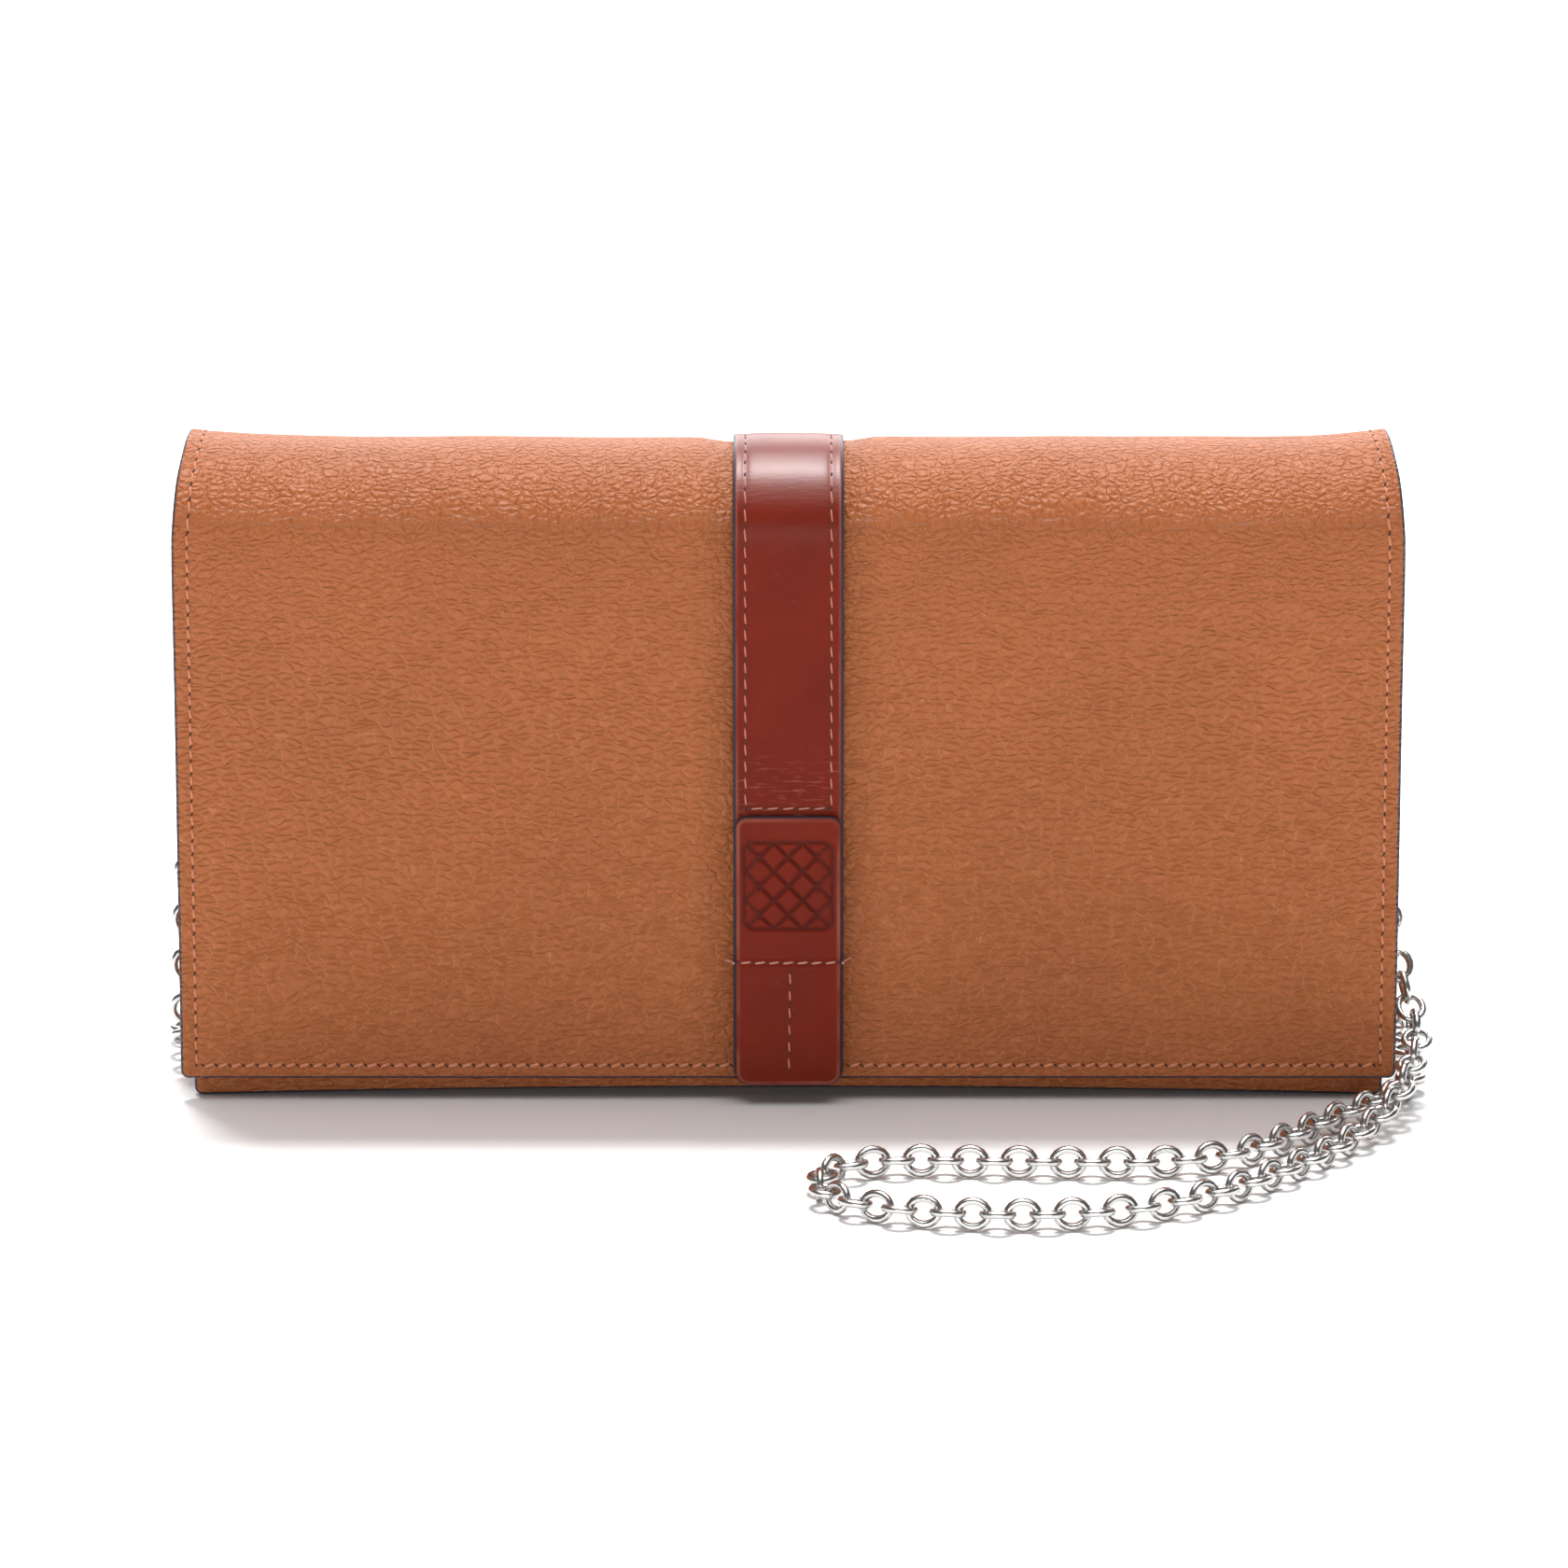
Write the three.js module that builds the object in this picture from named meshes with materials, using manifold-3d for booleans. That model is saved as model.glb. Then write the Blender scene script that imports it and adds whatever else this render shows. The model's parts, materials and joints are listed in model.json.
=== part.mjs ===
// A chain wallet: a flap folds over two open compartments, a zipped pocket and eight card slots.
// Millimetres, +Z up, the flap's face towards -Y, the origin on the floor under the middle.
import * as THREE from "three";
import { mergeVertices } from "three/addons/utils/BufferGeometryUtils.js";
import Module from "manifold-3d";

const wasm = await Module();
wasm.setup();

// Overall sizes.
const WIDTH = 200;
const HEIGHT = 109;
const GAP = 0.3;

// Leather and lining thicknesses.
const OUTER = 1.5;
const LINING = 0.7;
const STRAP = 1.2;
const PLATE = 1.4;
const WALL = 1.2;
const SLOT = 0.7;
const GUSSET = 1.0;

// Clear room inside, front to back.
const FLAP_CLEARANCE = 0.6;
const FRONT_ROOM = 5.4;
const POCKET_ROOM = 4.4;
const BACK_ROOM = 4.8;
const TIERS = 4;

// Heights.
const ROOF_RISE = 14;
const FOLD_Z = HEIGHT - ROOF_RISE;
const FLAP_BOTTOM = 3.7;
const PANEL_TOP = FOLD_Z - 7;
const POCKET_TOP = PANEL_TOP - 3;
const GUSSET_TOP = PANEL_TOP - 1;
const TOP_SLOT = PANEL_TOP - 8;
const SLOT_STEP = 11;
const INSIDE_BOTTOM = OUTER + GAP;

// Half-widths.
const FLAP_HALF = WIDTH / 2;
const ROOF_HALF = FLAP_HALF - 1.4;
const PANEL_HALF = FLAP_HALF - 2;
const LINING_HALF = PANEL_HALF - 1;
const GUSSET_DEPTH = 5.7;
const GUSSET_INNER = LINING_HALF - GUSSET_DEPTH;
const POCKET_HALF = GUSSET_INNER - GUSSET - 0.8;
const SLOT_HALF = POCKET_HALF - 3.5;
const STRAP_HALF = 9;
const PLATE_HALF = 8.7;
const PLATE_HEIGHT = 45.6;
const PLATE_DROP = 0.3;

// The layers from the front face to the back face: each entry is a name and its thickness.
const LAYERS = [
  ["plate", PLATE],
  ["gap1", GAP],
  ["strapFront", STRAP],
  ["gap2", GAP],
  ["flap", OUTER],
  ["gap3", GAP],
  ["flapLining", LINING],
  ["clearance", FLAP_CLEARANCE],
  ["front", OUTER],
  ["gap4", GAP],
  ["frontLining", LINING],
  ["frontRoom", FRONT_ROOM],
  ["pocketFront", WALL],
  ["pocketRoom", POCKET_ROOM],
  ["pocketBack", WALL],
  ["backRoom", BACK_ROOM],
  ["slots", TIERS * (SLOT + GAP)],
  ["backLining", LINING],
  ["gap5", GAP],
  ["back", OUTER],
  ["gap6", GAP],
  ["strapBack", STRAP],
];
const DEPTH = LAYERS.reduce((sum, [, thickness]) => sum + thickness, 0);
const Y = placeLayers();

// The middle of the zipped pocket, where the gussets, the rings and the zip lie.
const MID_Y = (Y.pocketRoom[0] + Y.pocketRoom[1]) / 2;

// Zip.
const ZIP_Z = POCKET_TOP + 1.2;
const TAPE = 0.6;
const TEETH_GAP = 1.2;
const TEETH = { width: 1.2, height: 1.8 };
const ZIP_HALF = POCKET_HALF - 5.5;
const SLIDER = { length: 9, width: 6, plate: 0.8, margin: 0.5 };
const SLIDER_X = ZIP_HALF - SLIDER.length / 2 - SLIDER.margin;
const PULL = { length: 11, width: 4.2, thick: 1.1 };

// Rings and clasps at the two sides.
const RING_Z = GUSSET_TOP - 4.5;
const RING = { wire: 0.75, half: 4, leg: 3 };
const TAB = { width: 4.6, bore: RING.wire + GAP, thick: 1, rise: 6, root: 0.6 };

// The tab lies on the gusset's front leaf, which slopes away from the fold beside the pocket.
const LEAF_INSET = 0.5;
const LEAF_SLOPE = (GUSSET_DEPTH - LEAF_INSET) / (MID_Y - GAP / 2 - Y.frontLining[1] - GAP);
const TAB_X = GUSSET_INNER + (LEAF_SLOPE * TAB.width) / 2 + GAP;
const RING_X = TAB_X + TAB.root + TAB.thick + TAB.bore;
const HOOK = { x: RING_X + 0.3, width: 6.2, height: 11, wall: 1.5, thick: 2.4, eye: 2.6, hole: 1.3 };

// Closure.
const MAGNET = { radius: 6.5, thick: 0.8, z: 25 };

// Chain: outer width of its links.
const CHAIN = 5.4;
const CHAIN_R = CHAIN / 2;
const FLOOR_Z = CHAIN_R;
const HANK = { run: 96, bend: 10.8, y: 38, layer: 5.6, turns: 2 };

// Colours.
const TAN = surface("#a5663f", 0.55, 0);
const RUSSET = surface("#78362a", 0.4, 0);
const SUEDE = surface("#b08a6c", 0.9, 0);
const TEXTILE = surface("#5a3a2c", 0.85, 0);
const STEEL = surface("#c9cbd0", 0.25, 1);
const DARK_STEEL = surface("#77797d", 0.4, 1);

function surface(color, roughness, metalness) {
  return new THREE.MeshStandardMaterial({ color, roughness, metalness });
}

function placeLayers() {
  const places = {};
  let y = -DEPTH / 2;
  for (const [name, thickness] of LAYERS) {
    places[name] = [y, y + thickness];
    y += thickness;
  }
  return places;
}

function toSolid(geometry) {
  const plain = geometry.clone();
  plain.deleteAttribute("normal");
  plain.deleteAttribute("uv");
  const merged = mergeVertices(plain, 1e-4);
  const vertProperties = new Float32Array(merged.attributes.position.array);
  const triVerts = new Uint32Array(merged.index.array);
  return new wasm.Manifold(new wasm.Mesh({ numProp: 3, vertProperties, triVerts }));
}

function fromSolid(solid) {
  const mesh = solid.getMesh();
  const geometry = new THREE.BufferGeometry();
  geometry.setAttribute("position", new THREE.BufferAttribute(mesh.vertProperties, 3));
  geometry.setIndex(new THREE.BufferAttribute(mesh.triVerts, 1));
  geometry.computeVertexNormals();
  return geometry;
}

function mirrored(geometry) {
  const plain = geometry.clone();
  plain.deleteAttribute("normal");
  plain.deleteAttribute("uv");
  const merged = mergeVertices(plain, 1e-4);
  merged.scale(-1, 1, 1);
  const index = merged.index.array;
  for (let i = 0; i < index.length; i += 3) {
    const first = index[i];
    index[i] = index[i + 2];
    index[i + 2] = first;
  }
  merged.computeVertexNormals();
  return merged;
}

function roundedShape(x0, x1, z0, z1, lower, upper) {
  const shape = new THREE.Shape();
  shape.moveTo(x0 + lower, z0);
  shape.lineTo(x1 - lower, z0);
  shape.absarc(x1 - lower, z0 + lower, lower, -Math.PI / 2, 0, false);
  shape.lineTo(x1, z1 - upper);
  shape.absarc(x1 - upper, z1 - upper, upper, 0, Math.PI / 2, false);
  shape.lineTo(x0 + upper, z1);
  shape.absarc(x0 + upper, z1 - upper, upper, Math.PI / 2, Math.PI, false);
  shape.lineTo(x0, z0 + lower);
  shape.absarc(x0 + lower, z0 + lower, lower, Math.PI, Math.PI * 1.5, false);
  return shape;
}

// An outline drawn in X and Z, given its thickness along Y.
function alongY(shape, [y0, y1], segments = 4) {
  const options = { depth: y1 - y0, bevelEnabled: false, curveSegments: segments };
  const geometry = new THREE.ExtrudeGeometry(shape, options);
  geometry.rotateX(Math.PI / 2);
  geometry.translate(0, y1, 0);
  return geometry;
}

// An outline drawn in Y and Z, carried along X between two places.
function alongX(shape, x0, x1, segments = 12) {
  const options = { depth: x1 - x0, bevelEnabled: false, curveSegments: segments };
  const geometry = new THREE.ExtrudeGeometry(shape, options);
  geometry.rotateX(Math.PI / 2);
  geometry.rotateZ(Math.PI / 2);
  geometry.translate(x0, 0, 0);
  return geometry;
}

// An outline drawn in X and Y, given its height along Z.
function alongZ(shape, z0, z1, segments = 6) {
  const options = { depth: z1 - z0, bevelEnabled: false, curveSegments: segments };
  const geometry = new THREE.ExtrudeGeometry(shape, options);
  geometry.translate(0, 0, z0);
  return geometry;
}

function polygon(points) {
  return new THREE.Shape(points.map(([a, b]) => new THREE.Vector2(a, b)));
}

function block(x0, x1, y0, y1, z0, z1) {
  return alongZ(polygon([[x0, y0], [x1, y0], [x1, y1], [x0, y1]]), z0, z1);
}

function sheet(half, layer, z0, z1, corner = 1.5) {
  return alongY(roundedShape(-half, half, z0, z1, corner, 0.4), layer, 3);
}

// A band that runs over the top between two upright layers, as a half ellipse.
function roof(half, frontLayer, backLayer, crest) {
  const middle = (frontLayer[0] + backLayer[1]) / 2;
  const reach = (backLayer[1] - frontLayer[0]) / 2;
  const thick = backLayer[1] - backLayer[0];
  const start = FOLD_Z + GAP / 2;
  const shape = new THREE.Shape();
  shape.moveTo(middle + reach, start);
  shape.absellipse(middle, start, reach, crest - start, 0, Math.PI, false, 0);
  shape.lineTo(middle - reach + thick, start);
  shape.absellipse(middle, start, reach - thick, crest - start - thick, Math.PI, 0, true, 0);
  return alongX(shape, -half, half, 14);
}

function discHole(x, z, radius, [y0, y1]) {
  const disc = new THREE.CylinderGeometry(radius, radius, y1 - y0, 24);
  disc.translate(x, (y0 + y1) / 2, z);
  return disc;
}

function withRecess(geometry, layer) {
  const inner = [layer[1] - MAGNET.thick, layer[1] + 1];
  const cutter = discHole(0, MAGNET.z, MAGNET.radius + GAP, inner);
  return fromSolid(toSolid(geometry).subtract(toSolid(cutter)));
}

function magnetDisc(layer) {
  return discHole(0, MAGNET.z, MAGNET.radius, [layer[1] - MAGNET.thick + GAP, layer[1]]);
}

const CREST = {
  strap: HEIGHT,
  leather: HEIGHT - STRAP - GAP,
  lining: HEIGHT - STRAP - GAP - OUTER - GAP,
};
const UPRIGHT_TOP = FOLD_Z - GAP / 2;

function backPanel() {
  return sheet(PANEL_HALF, Y.back, 0, UPRIGHT_TOP);
}

function backLining() {
  return sheet(LINING_HALF, Y.backLining, INSIDE_BOTTOM, UPRIGHT_TOP);
}

function strapBack() {
  return sheet(STRAP_HALF, Y.strapBack, 1.2, UPRIGHT_TOP, 0.4);
}

function bottomPanel() {
  return block(-LINING_HALF, LINING_HALF, Y.frontLining[0], Y.backLining[1], 0, OUTER);
}

// Card slots: the tallest panel lies against the lining, and each one before it is lower.
function cardSlot(side, tier) {
  const back = Y.slots[1] - GAP - (TIERS - tier) * (SLOT + GAP);
  const top = TOP_SLOT - (TIERS - tier) * SLOT_STEP;
  const inner = 2;
  const x0 = side < 0 ? -SLOT_HALF : inner;
  const x1 = side < 0 ? -inner : SLOT_HALF;
  return alongY(roundedShape(x0, x1, INSIDE_BOTTOM + GAP, top, 0.5, 1), [back - SLOT, back], 2);
}

// Half a gusset: a leaf from a panel's edge in to the fold beside the pocket.
function gussetLeaf(panelY, foldY, side) {
  const lean = Math.sign(foldY - panelY);
  const edge = LINING_HALF - LEAF_INSET;
  const leaf = polygon([
    [edge, panelY],
    [edge, panelY + lean * GUSSET],
    [GUSSET_INNER, foldY],
    [GUSSET_INNER - GUSSET, foldY],
    [GUSSET_INNER - GUSSET, foldY - lean * GUSSET],
    [edge - 2 * GUSSET, panelY],
  ]);
  const geometry = alongZ(leaf, INSIDE_BOTTOM, GUSSET_TOP);
  return side < 0 ? mirrored(geometry) : geometry;
}

function gussetBack(side) {
  return gussetLeaf(Y.backLining[0] - GAP, MID_Y + GAP / 2, side);
}

function gussetFront(side) {
  return gussetLeaf(Y.frontLining[1] + GAP, MID_Y - GAP / 2, side);
}

// A leather tab sewn to the gusset's fold, with a loop below it for the ring.
function ringTab(side) {
  const inner = TAB_X;
  const outer = inner + TAB.thick;
  const loop = TAB.bore + TAB.thick;
  const leaf = new THREE.Shape();
  leaf.moveTo(inner, RING_Z - loop);
  leaf.lineTo(RING_X, RING_Z - loop);
  leaf.absarc(RING_X, RING_Z, loop, -Math.PI / 2, Math.PI / 2, false);
  leaf.lineTo(outer, RING_Z + loop);
  leaf.lineTo(outer, RING_Z + TAB.rise);
  leaf.lineTo(inner, RING_Z + TAB.rise);
  const bore = new THREE.Path();
  bore.absarc(RING_X, RING_Z, TAB.bore, 0, Math.PI * 2, true);
  leaf.holes.push(bore);
  const geometry = alongY(leaf, [MID_Y - TAB.width / 2, MID_Y + TAB.width / 2], 10);
  return side < 0 ? mirrored(geometry) : geometry;
}

function circlePoints(radius, count) {
  const points = [];
  for (let i = 0; i < count; i += 1) {
    const angle = (2 * Math.PI * i) / count;
    points.push([radius * Math.cos(angle), radius * Math.sin(angle)]);
  }
  return points;
}

function tube(curve, radius, sides, steps) {
  const section = polygon(circlePoints(radius, sides));
  return new THREE.ExtrudeGeometry(section, { steps, bevelEnabled: false, extrudePath: curve });
}

function joined(...geometries) {
  const solids = geometries.map(toSolid);
  return fromSolid(solids.reduce((sum, solid) => sum.add(solid)));
}

function forSide(geometry, side) {
  return side < 0 ? mirrored(geometry) : geometry;
}

// A D ring: a straight bar along Y through the tab, with a round bow hanging below.
function dRing(side) {
  const points = [new THREE.Vector3(RING_X, MID_Y + RING.half, RING_Z + 0.2)];
  const steps = 10;
  for (let i = 0; i <= steps; i += 1) {
    const angle = (Math.PI * i) / steps;
    const y = MID_Y + RING.half * Math.cos(angle);
    points.push(new THREE.Vector3(RING_X, y, RING_Z - RING.leg - RING.half * Math.sin(angle)));
  }
  points.push(new THREE.Vector3(RING_X, MID_Y - RING.half, RING_Z + 0.2));
  const bow = tube(new THREE.CatmullRomCurve3(points), RING.wire, 8, 24);
  const reach = 2 * RING.half + 1.6 * RING.wire;
  const bar = new THREE.CylinderGeometry(RING.wire, RING.wire, reach, 12);
  bar.translate(RING_X, MID_Y, RING_Z);
  return forSide(joined(bar, bow), side);
}

// The height of the wire at the ring's lowest point, which the clasp hooks.
const BOW_Z = RING_Z - RING.leg - RING.half;
const HOOK_TOP = BOW_Z + RING.wire + GAP + HOOK.wall;
const HOOK_BOTTOM = HOOK_TOP - HOOK.height;
const EYE_Z = HOOK_BOTTOM - HOOK.eye + 0.9;
const HOOK_LAYER = [MID_Y - HOOK.thick / 2, MID_Y + HOOK.thick / 2];
const GATE_Z = [BOW_Z - 5.6, BOW_Z - 0.6];

function hookOutline(inset) {
  const half = HOOK.width / 2 - inset;
  const [low, high] = [HOOK_BOTTOM + inset, HOOK_TOP - inset];
  return roundedShape(HOOK.x - half, HOOK.x + half, low, high, half, half);
}

// A snap hook: a slim closed loop with an eye below it, open on its outer side for the gate.
function clasp(side) {
  const plate = alongY(hookOutline(0), HOOK_LAYER, 8);
  const eye = new THREE.Shape();
  eye.absarc(HOOK.x, EYE_Z, HOOK.eye, 0, Math.PI * 2, false);
  const wide = [HOOK_LAYER[0] - 1, HOOK_LAYER[1] + 1];
  const opening = alongY(hookOutline(HOOK.wall), wide, 8);
  const eyeHole = new THREE.Shape();
  eyeHole.absarc(HOOK.x, EYE_Z, HOOK.hole, 0, Math.PI * 2, false);
  const outer = HOOK.x + HOOK.width / 2;
  const gateway = block(outer - HOOK.wall - 0.4, outer + 1, ...wide, ...GATE_Z);
  let solid = toSolid(plate).add(toSolid(alongY(eye, HOOK_LAYER, 12)));
  for (const cutter of [opening, alongY(eyeHole, wide, 8), gateway]) {
    solid = solid.subtract(toSolid(cutter));
  }
  return forSide(fromSolid(solid), side);
}

function claspGate(side) {
  const outer = HOOK.x + HOOK.width / 2;
  const [low, high] = GATE_Z;
  const bar = block(outer - HOOK.wall, outer - 0.2, ...HOOK_LAYER, low + GAP, high - GAP);
  return forSide(bar, side);
}

function pocketWall(layer) {
  return sheet(POCKET_HALF, layer, INSIDE_BOTTOM + GAP, POCKET_TOP, 0.5);
}

// A U of leather between the pocket's walls closes its bottom and its two ends.
function pocketFrame() {
  const shape = polygon([
    [-POCKET_HALF, INSIDE_BOTTOM + GAP],
    [POCKET_HALF, INSIDE_BOTTOM + GAP],
    [POCKET_HALF, POCKET_TOP - 1],
    [POCKET_HALF - WALL, POCKET_TOP - 1],
    [POCKET_HALF - WALL, INSIDE_BOTTOM + GAP + WALL],
    [WALL - POCKET_HALF, INSIDE_BOTTOM + GAP + WALL],
    [WALL - POCKET_HALF, POCKET_TOP - 1],
    [-POCKET_HALF, POCKET_TOP - 1],
  ]);
  return alongY(shape, [Y.pocketRoom[0] + GAP, Y.pocketRoom[1] - GAP]);
}

// One tape of the zip: it lies level over a pocket wall and stops short of the middle.
function zipTape(side) {
  const near = MID_Y + side * (TEETH_GAP / 2 + TEETH.width + GAP);
  const far = side < 0 ? Y.pocketFront[0] : Y.pocketBack[1];
  const z = POCKET_TOP + GAP;
  return block(-POCKET_HALF, POCKET_HALF, Math.min(near, far), Math.max(near, far), z, z + TAPE);
}

function zipTeeth(side) {
  const near = MID_Y + (side * TEETH_GAP) / 2;
  const far = near + side * TEETH.width;
  const z = ZIP_Z - TEETH.height / 2;
  const y0 = Math.min(near, far);
  return block(-ZIP_HALF, ZIP_HALF, y0, Math.max(near, far), z, z + TEETH.height);
}

function zipStop(side) {
  const x0 = side * (ZIP_HALF + GAP);
  const x1 = x0 + side * 2;
  const half = TEETH_GAP / 2 + TEETH.width;
  const low = ZIP_Z - TEETH.height / 2;
  return block(Math.min(x0, x1), Math.max(x0, x1), MID_Y - half, MID_Y + half, low,
    low + TEETH.height);
}

// The slider: a plate over the teeth, a plate under them, and a post between the two rows.
function zipSlider() {
  const x0 = SLIDER_X - SLIDER.length / 2;
  const x1 = SLIDER_X + SLIDER.length / 2;
  const half = SLIDER.width / 2;
  const over = ZIP_Z + TEETH.height / 2 + GAP;
  const under = ZIP_Z - TEETH.height / 2 - GAP;
  const post = TEETH_GAP / 2 - GAP;
  const lower = TEETH.width + TEETH_GAP / 2;
  const bridge = { half: 1.3, rise: 2 };
  const top = block(x0, x1, MID_Y - half, MID_Y + half, over, over + SLIDER.plate);
  const bottom = block(x0, x1, MID_Y - lower, MID_Y + lower, under - SLIDER.plate, under);
  const core = block(x0, x1, MID_Y - post, MID_Y + post, under - 0.2, over + 0.2);
  const lugs = [-1, 1].map((end) => {
    const y0 = MID_Y + end * (bridge.half + GAP);
    const y1 = y0 + end * 0.9;
    const low = over + SLIDER.plate - 0.2;
    return block(SLIDER_X - 1.4, SLIDER_X + 1.4, Math.min(y0, y1), Math.max(y0, y1), low,
      low + bridge.rise);
  });
  return joined(top, bottom, core, ...lugs);
}

const PULL_Z = ZIP_Z + TEETH.height / 2 + GAP + SLIDER.plate + 0.9;

// The pull: a tapered tongue that lies along the zip, hinged between the slider's lugs.
function zipPull() {
  const half = 1.3;
  const end = SLIDER_X - PULL.length;
  const shape = polygon([
    [SLIDER_X + 0.7, MID_Y - half],
    [SLIDER_X + 0.7, MID_Y + half],
    [SLIDER_X - 2.2, MID_Y + half],
    [SLIDER_X - 3.6, MID_Y + PULL.width / 2],
    [end + 1, MID_Y + PULL.width / 2],
    [end, MID_Y + PULL.width / 2 - 1],
    [end, MID_Y - PULL.width / 2 + 1],
    [end + 1, MID_Y - PULL.width / 2],
    [SLIDER_X - 3.6, MID_Y - PULL.width / 2],
    [SLIDER_X - 2.2, MID_Y - half],
  ]);
  return alongZ(shape, PULL_Z - PULL.thick / 2, PULL_Z + PULL.thick / 2);
}

function flapLeather() {
  return withRecess(sheet(FLAP_HALF, Y.flap, FLAP_BOTTOM, UPRIGHT_TOP, 2.5), Y.flap);
}

function flapLining() {
  return sheet(FLAP_HALF - 0.6, Y.flapLining, FLAP_BOTTOM + 0.6, UPRIGHT_TOP, 2);
}

function strapFront() {
  return sheet(STRAP_HALF, Y.strapFront, FLAP_BOTTOM + 0.4, UPRIGHT_TOP, 0.5);
}

function tabPlate() {
  const low = FLAP_BOTTOM - PLATE_DROP;
  const shape = roundedShape(-PLATE_HALF, PLATE_HALF, low, low + PLATE_HEIGHT, 2.4, 2.4);
  return alongY(shape, Y.plate, 6);
}

function frontPanel() {
  return withRecess(sheet(PANEL_HALF, Y.front, 0, PANEL_TOP), Y.front);
}

function frontLining() {
  return sheet(LINING_HALF, Y.frontLining, INSIDE_BOTTOM, PANEL_TOP);
}

// The chain's free stretches, each through points chosen by hand.
const SIDE_X = 103.2;
const FAR_Y = HANK.y + HANK.bend;
const HANK_END = HANK.run / 2 + 11.3;
const LEFT_DROP = [
  [-HOOK.x, MID_Y, EYE_Z - 3.2],
  [-96.6, MID_Y, EYE_Z - 14],
  [-98.6, MID_Y, 40],
  [-99.4, 0.4, 28],
  [-99.9, 0.4, 15.2],
  [-100.2, 2, 9.2],
  [-100.6, 6.4, 4.7],
  [-101.2, 12.5, 3],
  [-101.6, 22, FLOOR_Z],
  [-100.4, 32, FLOOR_Z],
  [-95.6, 41.6, FLOOR_Z],
  [-86.4, 47.4, FLOOR_Z],
  [-74, FAR_Y, FLOOR_Z],
  [-HANK_END, FAR_Y, FLOOR_Z],
];
const RIGHT_REAR = [
  [HANK_END, FAR_Y, FLOOR_Z + HANK.turns * HANK.layer],
  [66, FAR_Y, 12.6],
  [78, 48, 6.6],
  [89, 44.4, 3.2],
  [98.4, 36, FLOOR_Z],
  [SIDE_X, 24, FLOOR_Z],
  [SIDE_X, 8, FLOOR_Z],
  [SIDE_X, -6, FLOOR_Z],
  [101, -16, FLOOR_Z],
  [95, -25, FLOOR_Z],
  [87.6, -34, FLOOR_Z],
  [80.4, -43.6, FLOOR_Z],
  [71.6, -52.6, FLOOR_Z],
  [60, -57, FLOOR_Z],
  [46, -57.4, FLOOR_Z],
  [30, -56.8, FLOOR_Z],
  [18, -56.5, FLOOR_Z],
  [11.6, -58, FLOOR_Z],
  [7, -61.8, FLOOR_Z],
  [5.1, -66.4, FLOOR_Z],
  [4.9, -68, FLOOR_Z],
];
const RIGHT_FRONT = [
  [4.9, -68.6, FLOOR_Z],
  [5.1, -70.4, FLOOR_Z],
  [7, -75.2, FLOOR_Z],
  [11.6, -79.6, FLOOR_Z],
  [18, -82.6, FLOOR_Z],
  [28, -84.8, FLOOR_Z],
  [38, -85.4, FLOOR_Z],
  [51, -83.4, FLOOR_Z],
  [63.6, -76.8, FLOOR_Z],
  [74.6, -66.6, FLOOR_Z],
  [84.8, -53.6, FLOOR_Z],
  [91.6, -43, 3],
  [97.6, -32.8, 4.8],
  [101.6, -23, 8],
  [103.4, -13.6, 10.6],
  [102.6, -6.4, 14.6],
  [100.6, -2, 21],
  [98.6, 0.2, 30],
  [97.2, MID_Y, 40],
  [96.8, MID_Y, EYE_Z - 14],
  [HOOK.x, MID_Y, EYE_Z - 3.2],
];

function chainTube(points, steps) {
  const curve = new THREE.CatmullRomCurve3(
    points.map(([x, y, z]) => new THREE.Vector3(x, y, z)), false, "centripetal");
  curve.arcLengthDivisions = 600;
  return tube(curve, CHAIN_R, 8, steps);
}

// The bundle of chain behind the wallet, as one solid of its outer shape.
function chainHank() {
  const half = HANK.bend + CHAIN_R;
  const shape = new THREE.Shape();
  shape.absarc(HANK.run / 2, HANK.y, half, -Math.PI / 2, Math.PI / 2, false);
  shape.absarc(-HANK.run / 2, HANK.y, half, Math.PI / 2, Math.PI * 1.5, false);
  return alongZ(shape, 0, CHAIN + HANK.turns * HANK.layer, 10);
}

const model = new THREE.Group();

function add(name, geometry, material) {
  const mesh = new THREE.Mesh(geometry, material);
  mesh.name = name;
  model.add(mesh);
}

const SIDES = { left: -1, right: 1 };

add("back_panel", backPanel(), TAN);
add("back_lining", backLining(), SUEDE);
add("strap_back", strapBack(), RUSSET);
add("bottom_panel", bottomPanel(), TAN);
for (const [side, sign] of Object.entries(SIDES)) {
  for (let tier = 1; tier <= TIERS; tier += 1) {
    add(`card_slot_${side}_${tier}`, cardSlot(sign, tier), TAN);
  }
}
add("roof_leather", roof(ROOF_HALF, Y.flap, Y.back, CREST.leather), TAN);
add("roof_lining", roof(LINING_HALF, Y.flapLining, Y.backLining, CREST.lining), SUEDE);
add("strap_top", roof(STRAP_HALF, Y.strapFront, Y.strapBack, CREST.strap), RUSSET);
add("flap_leather", flapLeather(), TAN);
add("flap_lining", flapLining(), SUEDE);
add("strap_front", strapFront(), RUSSET);
add("tab_plate", tabPlate(), RUSSET);
add("flap_magnet", magnetDisc(Y.flap), DARK_STEEL);
add("front_panel", frontPanel(), TAN);
add("front_lining", frontLining(), SUEDE);
add("keeper_disc", magnetDisc(Y.front), DARK_STEEL);
add("pocket_wall_front", pocketWall(Y.pocketFront), SUEDE);
add("pocket_wall_back", pocketWall(Y.pocketBack), SUEDE);
add("pocket_frame", pocketFrame(), TAN);
add("zip_tape_front", zipTape(-1), TEXTILE);
add("zip_tape_back", zipTape(1), TEXTILE);
add("zip_teeth_front", zipTeeth(-1), STEEL);
add("zip_teeth_back", zipTeeth(1), STEEL);
add("zip_slider", zipSlider(), STEEL);
add("zip_pull", zipPull(), STEEL);
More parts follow.
